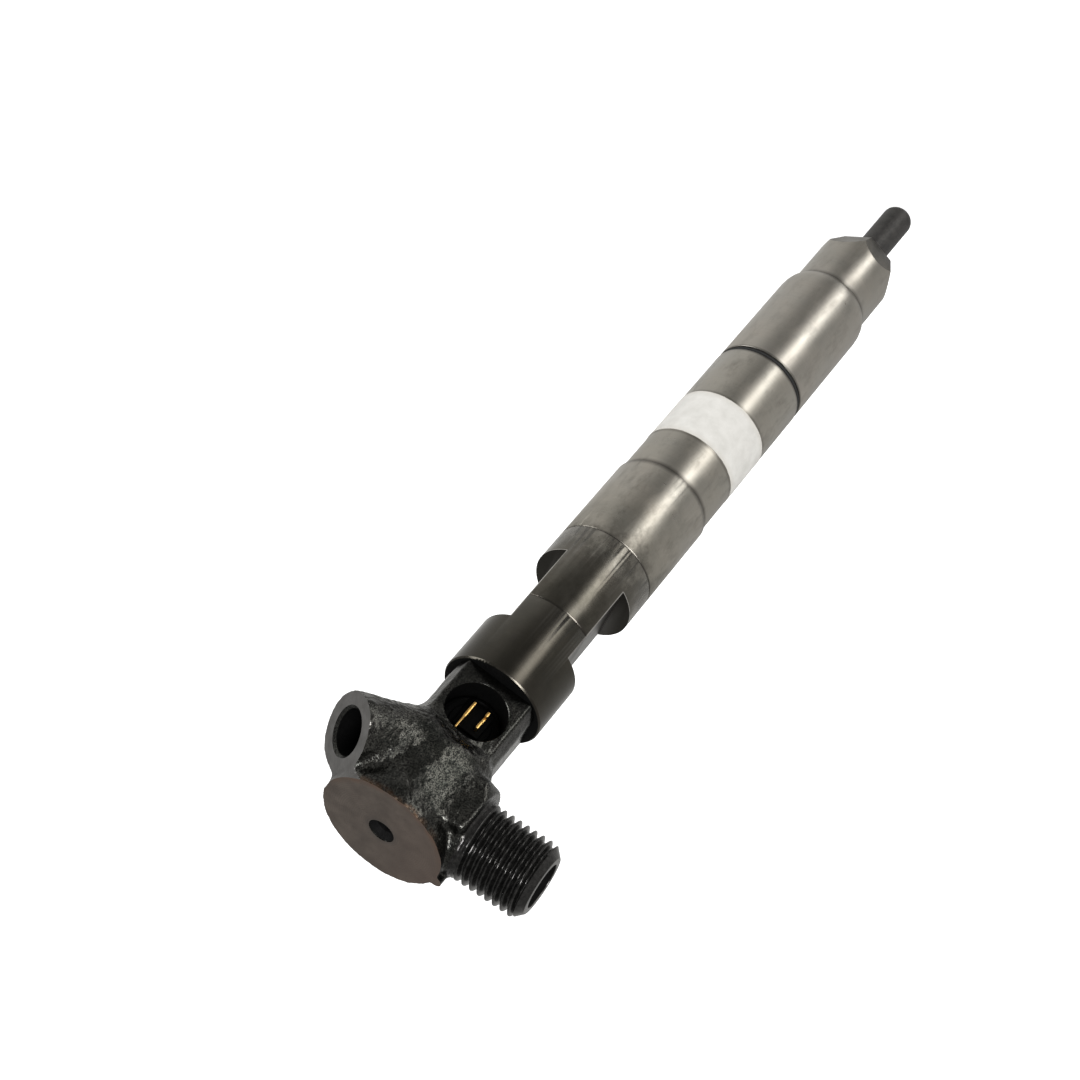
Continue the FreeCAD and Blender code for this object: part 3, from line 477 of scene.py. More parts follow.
def holder():
    """Forged head, turned shaft and threaded stub in one, with the openings and the centre mark cut out."""
    head = outward(forged_head())
    spot = round_cutter("spot", [(0, 0), (15.0, 0), (15.0, 8.0), (0, 8.0)],
                        RETURN_BASE + RETURN_DIR * RETURN_LENGTH, RETURN_DIR)
    boolean(spot, [lathe("keep", [(0, 150), (DISC_R, 150), (DISC_R, 180), (0, 180)], SEGMENTS)])
    boolean(head, [half_space("top", (0, 0, HEAD_TOP_Z), (0, 0, 1)), spot])
    bevelled(head, 0.12, 1, 50.0)
    body = outward(shaft())
    boolean(body, [head, threaded_inlet()], "UNION")
    socket = round_cutter("socket", [(0, 0), (5.5, 0), (SOCKET_R, 0.4), (SOCKET_R, 6.85), (5.75, 7.12),
                                     (5.9, 10.5), (0, 10.5)], (0, SOCKET_FLOOR_Y, SOCKET_Z), (0, -1, 0))
    port = round_cutter("port", [(0, RETURN_LENGTH - 11.0), (3.0, RETURN_LENGTH - 9.8),
                                 (RETURN_BORE_R, RETURN_LENGTH - 9.0),
                                 (RETURN_BORE_R, RETURN_LENGTH - 0.5), (4.45, RETURN_LENGTH - 0.05),
                                 (4.6, RETURN_LENGTH + 2), (0, RETURN_LENGTH + 2)], RETURN_BASE, RETURN_DIR)
    end = INLET_LENGTH
    inlet = round_cutter("inlet", [(0, 4.0), (2.0, 4.5), (2.0, end - 3.4), (2.25, end - 3.0),
                                   (4.15, end - 0.15), (4.7, end + 2), (0, end + 2)], INLET_BASE, INLET_DIR)
    mark = round_cutter("mark", [(0, HEAD_TOP_Z - 5.0), (1.1, HEAD_TOP_Z - 4.4), (1.2, HEAD_TOP_Z - 2.0),
                                 (1.6, HEAD_TOP_Z - 1.35), (2.1, HEAD_TOP_Z - 0.8), (2.45, HEAD_TOP_Z - 0.15),
                                 (2.7, HEAD_TOP_Z + 2), (0, HEAD_TOP_Z + 2)], (0, 0, 0), (0, 0, 1))
    boolean(body, [socket, port, inlet, mark])
    return tidied(body)


def holder_zones(centre, normal):
    """Material index of each face: turned shaft, forging, disc, spot face, thread, socket and bores."""
    zone = np.where(centre[:, 2] > FLATS_Z + 0.02, FORGING, SHAFT)
    out = (centre - RETURN_BASE) @ RETURN_DIR
    zone[(out > RETURN_LENGTH - 0.15) & (normal @ RETURN_DIR > 0.6)] = SPOT_FACE
    height = (centre - INLET_BASE) @ INLET_DIR
    zone[height > 12.4] = THREAD
    across = np.hypot(centre[:, 0], centre[:, 2] - SOCKET_Z)
    # Painted shade: the socket and the bores get the near-black material.
    zone[(across < SOCKET_R + 0.05) & (centre[:, 1] < 1) & (centre[:, 1] > -7.6)] = SHADE_BLACK
    rel = centre - RETURN_BASE
    radial_out = np.linalg.norm(rel - out[:, None] * RETURN_DIR, axis=1)
    zone[(radial_out < RETURN_BORE_R + 0.1) & (out > 5)] = SHADE_BLACK
    rel = centre - INLET_BASE
    radial = np.linalg.norm(rel - height[:, None] * INLET_DIR, axis=1)
    zone[(radial < 4.1) & (height > 3)] = SHADE_BLACK
    # Painted shade: the end face of the top collar, in the pocket under the flats, gets the near-black material.
    zone[(np.abs(centre[:, 2] - FLATS_Z) < 0.03) & (normal[:, 2] > 0.9)] = SHADE_BLACK
    reach = np.hypot(centre[:, 0], centre[:, 1])
    zone[(reach < 2.44) & (centre[:, 2] > 164) & (zone != THREAD)] = CENTRE_MARK
    inside = (centre[:, 2] > NOTCH_Z[0] - 0.03) & (centre[:, 2] < NOTCH_Z[1] + 0.03)
    on_flat = np.abs(np.abs(centre[:, 0]) - NOTCH_FLAT_X) < 0.02
    zone[inside & ((np.abs(normal[:, 2]) > 0.9) | on_flat)] = NOTCH
    # Painted highlight: the bevel round the return boss's face gets a brighter steel.
    rim = (out > RETURN_LENGTH - 0.2) & (np.abs(radial_out - RETURN_R) < 0.2) & (centre[:, 2] < 166.0)
    zone[rim & (np.abs(normal @ RETURN_DIR - 0.55) < 0.38)] = RIM_HIGHLIGHT
    # Painted shade at the bottom of the centre mark.
    zone[(reach < 1.7) & (centre[:, 2] > 164) & (zone == CENTRE_MARK)] = SHADE_BLACK
    zone[centre[:, 2] > HEAD_TOP_Z - 0.02] = DISC
    return zone


# ------------------------------------------------------------------ materials


class Graph:
    """Small helper to write node materials line by line. Coordinates are millimetres in the row frame."""

    def __init__(self, name):
        self.material = bpy.data.materials.new(name)
        self.material.use_nodes = True
        self.tree = self.material.node_tree
        self.shader = self.tree.nodes["Principled BSDF"]
        texture = self.tree.nodes.new("ShaderNodeTexCoord")
        scale = self.tree.nodes.new("ShaderNodeMapping")
        scale.inputs["Scale"].default_value = (1000.0, 1000.0, 1000.0)
        self.tree.links.new(texture.outputs["Object"], scale.inputs["Vector"])
        self.place = scale.outputs["Vector"]
        self.levels = []

    def put(self, socket, value):
        if isinstance(value, bpy.types.NodeSocket):
            self.tree.links.new(value, socket)
        elif value is not None:
            socket.default_value = value

    def node(self, kind, **values):
        made = self.tree.nodes.new(kind)
        for key, value in values.items():
            setattr(made, key, value)
        return made

    def squeeze(self, x, y, z):
        made = self.node("ShaderNodeMapping")
        self.put(made.inputs["Vector"], self.place)
        made.inputs["Scale"].default_value = (x, y, z)
        return made.outputs["Vector"]

    def noise(self, scale, detail=3.0, roughness=0.55, vector=None):
        made = self.node("ShaderNodeTexNoise")
        self.put(made.inputs["Vector"], vector if vector is not None else self.place)
        made.inputs["Scale"].default_value = scale
        made.inputs["Detail"].default_value = detail
        made.inputs["Roughness"].default_value = roughness
        return made.outputs["Fac"]

    def cells(self, scale):
        made = self.node("ShaderNodeTexVoronoi", feature="F1")
        self.put(made.inputs["Vector"], self.place)
        made.inputs["Scale"].default_value = scale
        return made.outputs["Distance"]

    def math(self, operation, a, b=0.0):
        made = self.node("ShaderNodeMath", operation=operation)
        self.put(made.inputs[0], a)
        self.put(made.inputs[1], b)
        return made.outputs[0]

    def span(self, value, low, high, to_low=0.0, to_high=1.0):
        made = self.node("ShaderNodeMapRange")
        limits = {"From Min": low, "From Max": high, "To Min": to_low, "To Max": to_high}
        self.put(made.inputs["Value"], value)
        for key, limit in limits.items():
            self.put(made.inputs[key], limit)
        return made.outputs["Result"]

    def ramp(self, value, stops):
        made = self.node("ShaderNodeValToRGB")
        self.put(made.inputs["Fac"], value)
        while len(made.color_ramp.elements) < len(stops):
            made.color_ramp.elements.new(0.5)
        for element, (at, colour) in zip(made.color_ramp.elements, stops):
            element.position = at
            element.color = (*colour, 1.0)
        return made.outputs["Color"]

    def mix(self, share, a, b, blend="MIX"):
        made = self.node("ShaderNodeMix", data_type="RGBA", blend_type=blend)
        self.put(made.inputs[0], share)
        for socket, value in ((made.inputs[6], a), (made.inputs[7], b)):
            self.put(socket, (*value, 1.0) if isinstance(value, tuple) else value)
        return made.outputs[2]

    def split(self):
        made = self.node("ShaderNodeSeparateXYZ")
        self.put(made.inputs[0], self.place)
        return made.outputs

    def bump(self, height, distance, strength=1.0, below=None):
        made = self.node("ShaderNodeBump")
        self.put(made.inputs["Height"], height)
        made.inputs["Distance"].default_value = distance * MM
        made.inputs["Strength"].default_value = strength
        if below is not None:
            self.put(made.inputs["Normal"], below)
        return made.outputs["Normal"]

    def surface(self, colour, roughness, metallic, normal=None, **more):
        s = self.shader.inputs
        self.put(s["Base Color"], (*colour, 1.0) if isinstance(colour, tuple) else colour)
        self.put(s["Roughness"], roughness)
        self.put(s["Metallic"], metallic)
        if normal is not None:
            self.put(s["Normal"], normal)
        for key, value in more.items():
            self.put(s[key.replace("_", " ")], value)
        return self.material


def grey(v, warm=0.0):
    return (v * (1 + warm), v, v * (1 - warm))


def notch_edge_highlight(g, z, highlight_breakup):
    """Painted highlight: bright thin lines along the edges of the clamp notches."""
    across = g.math("ABSOLUTE", g.split()[0])
    low, high = NOTCH_Z
    flat_x = NOTCH_FLAT_X
    along = g.math("MULTIPLY", g.span(across, flat_x - 0.2, flat_x - 0.08), g.span(z, low - 0.1, low))
    along = g.math("MULTIPLY", along, g.span(z, high + 0.1, high))
    seat = g.math("MULTIPLY", g.span(z, low - 0.2, low - 0.1), g.span(z, low + 0.3, low + 0.2))
    seat = g.math("MULTIPLY", seat, g.span(across, flat_x - 0.1, flat_x))
    return g.math("MULTIPLY", g.math("MAXIMUM", along, seat), g.span(highlight_breakup, 0.35, 0.6, 0.35, 0.9))


def turned_steel(name, stops, low, high, step_shade, roughness=0.3, smudge=0.3, with_edge_highlight=False):
    """Ground and turned steel: fine rings, smudges, painted shade along each listed step and groove, and a tone
    that changes along Z.
    """
    g = Graph(name)
    z = g.split()[2]
    cloud = g.noise(0.14, 4.0, 0.62)
    stain = g.noise(0.42, 5.0, 0.7, g.squeeze(1.0, 1.0, 0.45))
    blotch = g.noise(0.22, 5.0, 0.72, g.squeeze(1.0, 1.0, 0.7))
    smear = g.noise(0.55, 5.0, 0.7)
    wander = g.math("MULTIPLY", g.span(blotch, 0.3, 0.7, -1.0, 1.0), 6.0)
    wander = g.math("ADD", wander, g.span(smear, 0.3, 0.7, -2.5, 2.5))
    tone = g.ramp(g.span(g.math("ADD", z, wander), low, high), stops)
    rings = g.noise(5.5, 2.0, 0.7, g.squeeze(0.03, 0.03, 1.0))
    fine = g.noise(22.0, 1.0, 0.5, g.squeeze(0.02, 0.02, 1.0))
    tone = g.mix(g.span(stain, 0.5, 0.72, 0.0, smudge), tone, grey(0.06, 0.08))
    tone = g.mix(g.span(cloud, 0.3, 0.7), tone, (1.12, 1.09, 1.07), "MULTIPLY")
    tone = g.mix(g.span(rings, 0.35, 0.65, 0.0, 0.16), tone, (0.62, 0.62, 0.60), "MULTIPLY")
    # Painted shade: a dark band round each listed step and groove.
    for at, width, depth in step_shade:
        near = g.span(g.math("ABSOLUTE", g.math("SUBTRACT", z, at)), 0.0, width, depth, 0.0)
        tone = g.mix(near, tone, grey(0.035, 0.1))
    # Painted highlight along the edges of the clamp notches.
    if with_edge_highlight:
        tone = g.mix(notch_edge_highlight(g, z, stain), tone, grey(0.55, 0.04))
    rough = g.span(cloud, 0.25, 0.75, roughness - 0.05, roughness + 0.07)
    rough = g.math("ADD", rough, g.span(stain, 0.45, 0.75, 0.0, 0.12))
    rough = g.math("MULTIPLY", rough, g.span(z, 98.0, 112.0, 1.0, 0.6))
    height = g.math("ADD", g.math("MULTIPLY", rings, 0.6), g.math("MULTIPLY", fine, 0.4))
    return g.surface(tone, rough, 1.0, g.bump(height, 0.006))


def forged_black():
    """Oiled black forging skin: coarse scale, pits and glittering small facets."""
    g = Graph("forged_black")
    scale = g.cells(1.5)
    grit = g.noise(4.2, 2.5, 0.6)
    patch = g.noise(0.3, 3.0, 0.6)
    x, y, z = g.split()
    radius = g.math("POWER", g.math("ADD", g.math("MULTIPLY", x, x), g.math("MULTIPLY", y, y)), 0.5)
    near_rim = g.math("MULTIPLY", g.span(z, 169.3, 170.4), g.span(radius, 11.1, 11.6))
    front = g.span(y, -5.0, -9.0)
    rust_noise = g.span(g.noise(0.7, 4.0, 0.6), 0.40, 0.55)
    rust = g.math("MULTIPLY", g.math("MULTIPLY", near_rim, front), rust_noise)
    base = g.mix(g.span(patch, 0.35, 0.65), (0.044, 0.045, 0.041), (0.086, 0.085, 0.077))
    base = g.mix(g.span(grit, 0.56, 0.44, 0.0, 0.92), base, grey(0.009, 0.02))
    # Painted shade in the pocket where the forging meets the collar end.
    base = g.mix(g.span(z, 141.5, 138.8, 0.0, 0.6), base, grey(0.008))
    base = g.mix(g.math("MULTIPLY", rust, 0.5), base, (0.11, 0.06, 0.032))
    rough = g.span(grit, 0.3, 0.7, 0.26, 0.16)
    height = g.math("ADD", g.math("MULTIPLY", scale, 0.25), g.math("MULTIPLY", grit, 1.0))
    strong = g.span(z, 146.0, 153.0, 0.35, 1.0)
    return g.surface(base, rough, 0.95, g.bump(g.math("MULTIPLY", height, strong), 0.05))


def machined_disc():
    """Faced top of the head: brown-grey with circular tool lines and rusty rim."""
    g = Graph("machined_disc")
    x, y, z = g.split()
    radius = g.math("POWER", g.math("ADD", g.math("MULTIPLY", x, x), g.math("MULTIPLY", y, y)), 0.5)
    lines = g.math("SINE", g.math("MULTIPLY", radius, 16.0))
    wander = g.noise(0.3, 5.0, 0.65)
    speck = g.noise(3.2, 4.0, 0.7)
    tone = g.mix(g.span(wander, 0.35, 0.65), (0.058, 0.043, 0.034), (0.100, 0.080, 0.066))
    tone = g.mix(g.span(lines, -1.0, 1.0, 0.0, 0.3), tone, grey(0.035, 0.15))
    tone = g.mix(g.span(speck, 0.58, 0.7, 0.0, 0.8), tone, (0.028, 0.02, 0.016))
    tone = g.mix(g.span(x, 2.0, -12.0, 0.0, 0.5), tone, (0.078, 0.050, 0.038))
    rim = g.math("MULTIPLY", g.span(radius, 10.4, 11.7), g.span(y, 3.0, -8.0))
    tone = g.mix(g.math("MULTIPLY", rim, g.span(wander, 0.35, 0.6)), tone, (0.085, 0.048, 0.03))
    dark = g.span(radius, 2.4, 3.6, 0.4, 0.0)
    tone = g.mix(dark, tone, grey(0.02, 0.1))
    height = g.math("ADD", g.math("MULTIPLY", lines, 0.3), speck)
    return g.surface(tone, g.span(wander, 0.3, 0.7, 0.42, 0.6), 0.35, g.bump(height, 0.006))


def spot_face():
    """Milled face of the return boss, cleaner and greyer than the disc."""
    g = Graph("spot_face")
    sweep = g.noise(2.2, 2.0, 0.6, g.squeeze(0.12, 1.0, 0.12))
    wander = g.noise(0.4, 4.0, 0.6)
    speck = g.noise(2.8, 4.0, 0.7)
    tone = g.mix(g.span(wander, 0.3, 0.7), grey(0.075, 0.04), grey(0.115, 0.03))
    tone = g.mix(g.span(speck, 0.6, 0.75, 0.0, 0.6), tone, grey(0.05, 0.1))
    rough = g.span(sweep, 0.3, 0.7, 0.38, 0.55)
    return g.surface(tone, rough, 0.8, g.bump(g.math("ADD", sweep, speck), 0.02))


def oiled_thread():
    g = Graph("oiled_thread")
    grime = g.noise(1.3, 5.0, 0.65)
    fine = g.noise(9.0, 3.0, 0.6)
    tone = g.mix(g.span(grime, 0.35, 0.7), grey(0.022, 0.02), grey(0.06, 0.03))
    return g.surface(tone, g.span(grime, 0.3, 0.7, 0.16, 0.3), 0.9, g.bump(fine, 0.006))


# Near-black, barely reflecting surface: painted shade in bores, recesses and the deep socket.
def black_and_shade(name, value=0.002):
    g = Graph(name)
    grime = g.noise(1.8, 4.0, 0.6)
    tone = g.mix(grime, grey(value * 0.6), grey(value * 1.8))
    rough = g.span(grime, 0.3, 0.7, 0.5, 0.7)
    return g.surface(tone, rough, 0.0, g.bump(grime, 0.05), Specular_IOR_Level=0.04)


def nozzle_black():
    g = Graph("nozzle_black")
    cloud = g.noise(0.8, 4.0, 0.65)
    rings = g.noise(6.0, 2.0, 0.6, g.squeeze(0.04, 0.04, 1.0))
    speck = g.noise(5.0, 4.0, 0.7)
    tone = g.mix(g.span(cloud, 0.3, 0.7), grey(0.022, 0.04), grey(0.05, 0.06))
    tone = g.mix(g.span(speck, 0.6, 0.75, 0.0, 0.6), tone, grey(0.025, 0.05))
    height = g.math("ADD", g.math("MULTIPLY", rings, 0.5), speck)
    return g.surface(tone, g.span(cloud, 0.3, 0.7, 0.42, 0.58), 0.6, g.bump(height, 0.03))


def rubber(name, value):
    g = Graph(name)
    grain = g.noise(6.0, 4.0, 0.65)
    tone = g.mix(grain, grey(value * 0.6), grey(value * 1.5))
    rough = g.span(grain, 0.3, 0.7, 0.55, 0.8)
    return g.surface(tone, rough, 0.0, g.bump(grain, 0.03), Specular_IOR_Level=0.35)


def label_paper():
    """Blank paper sticker: fibres, a little grime and yellowing along its edges."""
    g = Graph("label_paper")
    z = g.split()[2]
    fibre = g.noise(7.0, 4.0, 0.7)
    grime = g.noise(0.35, 4.0, 0.6)
    low, high = LABEL_Z
    edge = g.math("MAXIMUM", g.span(z, low + 1.3, low), g.span(z, high - 1.3, high))
    tone = g.mix(g.span(grime, 0.35, 0.75), (0.53, 0.52, 0.495), (0.44, 0.43, 0.405))
    tone = g.mix(g.math("MULTIPLY", edge, g.span(fibre, 0.3, 0.7, 0.15, 0.6)), tone, (0.40, 0.37, 0.32))
    tone = g.mix(g.span(fibre, 0.5, 0.8, 0.0, 0.15), tone, (0.36, 0.34, 0.31))
    rough = g.span(fibre, 0.3, 0.7, 0.5, 0.68)
    return g.surface(tone, rough, 0.0, g.bump(fibre, 0.012), Specular_IOR_Level=0.4)


def gold():
    g = Graph("gold_blade")
    wear = g.noise(3.0, 4.0, 0.6)
    fine = g.noise(14.0, 2.0, 0.5, g.squeeze(1.0, 0.1, 1.0))
    return g.surface(g.mix(g.span(wear, 0.35, 0.7), (0.95, 0.62, 0.22), (0.62, 0.34, 0.10)),
                     g.span(wear, 0.3, 0.7, 0.2, 0.4), 1.0, g.bump(fine, 0.01))


def plain_metal(name, low, high, roughness=0.3):
    """Ground steel of the inner parts, with scuffs and rings."""
    g = Graph(name)
    cloud = g.noise(0.6, 4.0, 0.6)
    rings = g.noise(9.0, 2.0, 0.6, g.squeeze(0.05, 0.05, 1.0))
    tone = g.mix(g.span(cloud, 0.3, 0.7), low, high)
    rough = g.span(cloud, 0.3, 0.7, roughness - 0.06, roughness + 0.08)
    return g.surface(tone, rough, 1.0, g.bump(rings, 0.01))


def moulded(name, low, high, roughness=0.45):
    g = Graph(name)
    cloud = g.noise(1.2, 3.0, 0.6)
    grain = g.noise(12.0, 3.0, 0.6)
    rough = g.span(grain, 0.3, 0.7, roughness - 0.08, roughness + 0.1)
    return g.surface(g.mix(g.span(cloud, 0.3, 0.7), low, high), rough, 0.0, g.bump(grain, 0.02))


# ------------------------------------------------------------------ build


HOLDER_TONES = [(0.0, (0.375, 0.360, 0.325)), (0.38, (0.37, 0.355, 0.32)), (0.44, (0.38, 0.362, 0.325)),
                (0.56, (0.31, 0.296, 0.262)), (0.655, (0.135, 0.128, 0.112)), (0.80, (0.075, 0.071, 0.060)),
                (1.0, (0.05, 0.047, 0.040))]
NUT_TONES = [(0.0, (0.33, 0.316, 0.285)), (0.45, (0.375, 0.36, 0.33)), (1.0, (0.395, 0.378, 0.345))]

# Painted shade along each step, scribed groove and label edge: height, half width and depth of tone.
HOLDER_STEP_SHADE = ((45.9, 0.5, 0.8), (LABEL_Z[0] - 0.3, 0.5, 0.35), (LABEL_Z[1] + 0.3, 0.5, 0.35),
                (81.8, 1.1, 0.85), (SCRIBE_Z[0], 0.35, 0.8), (SCRIBE_Z[1], 0.35, 0.75))
NUT_STEP_SHADE = ((NUT_WAIST_TOP_Z, 0.9, 0.6), (44.6, 0.4, 0.6))
shaft_steel = turned_steel("shaft_steel", HOLDER_TONES, RING_Z[1], FLATS_Z, HOLDER_STEP_SHADE, with_edge_highlight=True)
nut_steel = turned_steel("nut_steel", NUT_TONES, 0.0, RING_Z[0], NUT_STEP_SHADE, smudge=0.22)
# Painted shade for the socket, the bores and the collar end face.
bore_shade = black_and_shade("black_and_shade")
DARK_TONES = [(0.0, (0.045, 0.042, 0.036)), (1.0, (0.030, 0.028, 0.024))]
notch_steel = turned_steel("notch_steel", DARK_TONES, 100.0, 130.0, (), 0.5)
holder_materials = [shaft_steel, forged_black(), machined_disc(), spot_face(), oiled_thread(), bore_shade,
                    # centre_bore: painted shade on the walls of the centre mark.
                    black_and_shade("centre_bore", 0.006), notch_steel,
                    # Painted highlight on the rim of the return boss.
                    plain_metal("rim_highlight", grey(0.3, 0.03), grey(0.5, 0.03))]

finished(holder(), "injector", holder_materials, ["holder_body"], choose=holder_zones,
         flat=(DISC, SPOT_FACE))


def taper_flats():
    """Six-sided taper that leaves the wrench flats on the nut's end, wide open above them."""
    turns = np.radians(NUT_CORNER_AZIMUTH + 360.0 / WRENCH_FLATS * np.arange(WRENCH_FLATS))
    verts = []
    for z in (-1.0, 10.0, 60.0):
        flat_r = NUT_END_IN_R + min(z, 10.0) * (NUT_WAIST_R - NUT_END_IN_R) / NUT_FLATS_TOP_Z
        corner = flat_r / math.cos(math.pi / WRENCH_FLATS)
        verts += [(corner * math.cos(a), corner * math.sin(a), z) for a in turns]
    n = WRENCH_FLATS
    faces = [tuple(range(n))[::-1], tuple(range(2 * n, 3 * n))]
    faces += [(k + i, k + (i + 1) % n, k + n + (i + 1) % n, k + n + i) for k in (0, n) for i in range(n)]
    return outward(new_object("taper", verts, faces))


def cap_nut():
    """Bore for the nozzle, straight waist, flared shoulder and the long upper barrel."""
    top = RING_Z[0]
    waist = NUT_WAIST_R
    body = lathe("cap_nut", [(0, 3.2), (3.5, 3.2), (3.5, 0.15), (3.65, 0.0), (waist, 0.0), (waist, 12.0),
                             (waist, 16.9), (8.22, 17.15), (8.6, 17.6), (8.98, 18.4), (9.2, 19.4),
                             (NUT_R, 20.7), (NUT_R, 32.0), (NUT_R, 44.6), (9.24, 44.68), (9.15, top),
                             (8.02, top), (8.02, 40.0), (0, 40.0)])
    return bevelled(boolean(body, [taper_flats()], "INTERSECT"), 0.12)


FLAT_TONES = [(0.0, (0.12, 0.115, 0.105)), (1.0, (0.17, 0.162, 0.148))]
flat_steel = turned_steel("flat_steel", FLAT_TONES, 0.0, 6.0, (), 0.36)
finished(cap_nut(), "injector", [nut_steel, flat_steel], ["nozzle_cap_nut"], sharp=20.0,
         choose=lambda centre, normal: np.where(
             (centre[:, 2] < NUT_FLATS_TOP_Z) & (normal[:, 2] < -0.3), 1, 0))

ring = tube("seal_ring", [(8.0, RING_Z[0]), (9.0, 44.72), (9.16, 44.9), (9.18, 45.2), (9.16, 45.5),
                          (9.0, 45.68), (8.0, RING_Z[1])])
finished(ring, "injector", [rubber("ring_black", 0.008)], ["nut_seal_ring"])

tip = [(STEM_R - STEM_TIP_ROUND * (1 - math.cos(a)), STEM_TIP_Z + STEM_TIP_ROUND * (1 - math.sin(a)))
       for a in np.radians(np.arange(90, -1, -10))]
root = [(STEM_R, -8.0), (STEM_R, 0.05), (3.3, 0.3), (3.3, 3.1), (0, 3.1)]
stem = lathe("nozzle_stem", [(0, STEM_TIP_Z)] + tip + root)
finished(stem, "injector", [nozzle_black()], ["nozzle_body"])


def wrapped_label():
    """Thin sticker wrapped nearly all the way round, with soft ripples and a lifting end."""
    z0, z1 = LABEL_Z
    start, end = np.radians(LABEL_ANGLES)
    columns, rows = 220, 12
    a = np.linspace(start, end, columns)
    z = np.linspace(z0, z1, rows)
    grid_a, grid_z = np.meshgrid(a, z, indexing="ij")
    ripple = np.array([[noise.noise(Vector((math.cos(p) * 2.2, math.sin(p) * 2.2, q * 0.22))) for q in z]
                       for p in a])
    lift = 0.35 * np.clip((grid_a - (end - 0.12)) / 0.12, 0, 1) ** 2
    outer = BODY_R + 0.07 + 0.03 * ripple + lift
    inner = outer - 0.06
    jag = 0.05 * np.array([noise.noise(Vector((p * 6.0, 0, 1))) for p in a])
    edge = np.zeros_like(grid_z)
    edge[:, 0] = jag
    edge[:, -1] = -jag
    layers = [np.stack([r * np.cos(grid_a), r * np.sin(grid_a), grid_z + edge], -1).reshape(-1, 3)
              for r in (outer, inner)]
    count = columns * rows
    faces = []
    for i in range(columns - 1):
        for j in range(rows - 1):
            p, q = i * rows + j, (i + 1) * rows + j
            faces.append((p, q, q + 1, p + 1))
            faces.append((count + p, count + p + 1, count + q + 1, count + q))
    rim = [i * rows for i in range(columns)] + [(columns - 1) * rows + j for j in range(1, rows)]
    rim += [i * rows + rows - 1 for i in range(columns - 2, -1, -1)] + [j for j in range(rows - 2, 0, -1)]
    for p, q in zip(rim, rim[1:] + rim[:1]):
        faces.append((p, count + p, count + q, q))
    return outward(new_object("label_sheet", np.concatenate(layers), faces))


finished(wrapped_label(), "injector", [label_paper()], ["label"])


def socket_insert():
    """Moulding at the bottom of the socket, with the block that the blades stand in."""
    outline = [(0, 0.02), (5.42, 0.02), (5.42, 2.1), (5.2, 2.35), (4.9, 2.4), (4.7, 2.2), (3.9, 2.15),
               (3.7, 2.4), (0, 2.4)]
    base = lathe("insert", outline, 96, (0, SOCKET_FLOOR_Y, SOCKET_Z), (0, -1, 0))
    step_block = bevelled(block("step", (-2.7, -2.7, 141.8), (2.7, -1.5, 147.5)), 0.25, 3)
    return boolean(base, [step_block], "UNION")


# Black plastic insert, darkened further as painted shade of the deep socket.
finished(socket_insert(), "injector", [black_and_shade("insert_black", 0.001)],
         ["connector_insert"])


def tongue(name, x, thickness, outline):
    """Plate of even thickness cut to an outline of (y, z) points."""
    count = len(outline)
    verts = [(x + side * thickness / 2, y, z) for side in (-1, 1) for y, z in outline]
    faces = [tuple(range(count))[::-1], tuple(range(count, 2 * count))]
    faces += [(n, (n + 1) % count, count + (n + 1) % count, count + n) for n in range(count)]
    return outward(new_object(name, verts, faces))


def blade(side):
    """Blade standing edge-on: the right one long with a thinned end, the left one short and notched."""
    x = side * BLADE_X
    tip, back, low = BLADE_TIP_Y, BLADE_BACK_Y, BLADE_LOW_Z
    chamfer = [(tip, low + 0.15), (tip + 0.15, low), (back, low)]
    if side > 0:
        step_z, top = LONG_BLADE_STEP_Z, LONG_BLADE_TOP_Z
        made = tongue("blade_right", x, BLADE_T, chamfer + [(back, step_z), (tip, step_z)])
        end = tongue("blade_end", x, BLADE_THIN_T, [(tip, step_z - 0.2), (-1.95, step_z - 0.2), (-1.95, top),
                                                    (tip + 0.2, top), (tip, top - 0.2)])
        boolean(made, [end], "UNION")
    else:
        top = SHORT_BLADE_TOP_Z
        notch = [(tip, 144.9), (-3.2, 144.7), (-3.2, 143.7), (tip, 143.5)]
        upper = [(back, top), (tip + 0.15, top), (tip, top - 0.15)]
        made = tongue("blade_left", x, BLADE_T, chamfer + upper + notch)
    foot = block("foot", (x - 0.9, -1.7, low), (x + 0.9, 0.15, low + 0.5))
    return bevelled(boolean(made, [foot], "UNION"), 0.06, 2)


gold_metal = gold()
for side, node in ((-1, "terminal_left"), (1, "terminal_right")):
    finished(blade(side), "injector", [gold_metal], [node])

# Inner pieces keep their CAD meshes and get materials of their own.
ground = plain_metal("ground_steel", grey(0.46, 0.01), grey(0.62, 0.01))
springs = plain_metal("spring_wire", grey(0.3, 0.02), grey(0.45, 0.02), 0.35)
iron = plain_metal("soft_iron", grey(0.2, 0.02), grey(0.32, 0.02), 0.42)
copper = plain_metal("enamelled_copper", (0.62, 0.22, 0.08), (0.78, 0.34, 0.15), 0.28)
inner_materials = {
    "nozzle_needle": ground, "needle_spring": springs, "needle_sleeve": ground, "orifice_plate": ground,
    "lower_dowels": ground, "valve_body": ground, "upper_dowels": ground, "valve_stem": ground,
    "armature": iron,
    "valve_spring": springs, "valve_spring_shim": ground, "air_gap_ring": ground, "solenoid_core": iron,
    "coil_bobbin": moulded("bobbin_brown", (0.03, 0.02, 0.014), (0.05, 0.035, 0.025)), "coil_winding": copper,
    "solenoid_disc_spring": springs, "connector_seal": rubber("seal_black", 0.012), "inlet_filter": ground,
    "conductor_left": gold_metal, "conductor_right": gold_metal,
}
sleeve = moulded("sleeve_natural", (0.6, 0.56, 0.46), (0.68, 0.64, 0.54), 0.3)
inner_materials["conductor_sleeve_left"] = sleeve
inner_materials["conductor_sleeve_right"] = sleeve
for node, material in inner_materials.items():
    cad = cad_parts[node]
    cad.data.materials.clear()
    cad.data.materials.append(material)

# ------------------------------------------------------------------ floor, light and camera

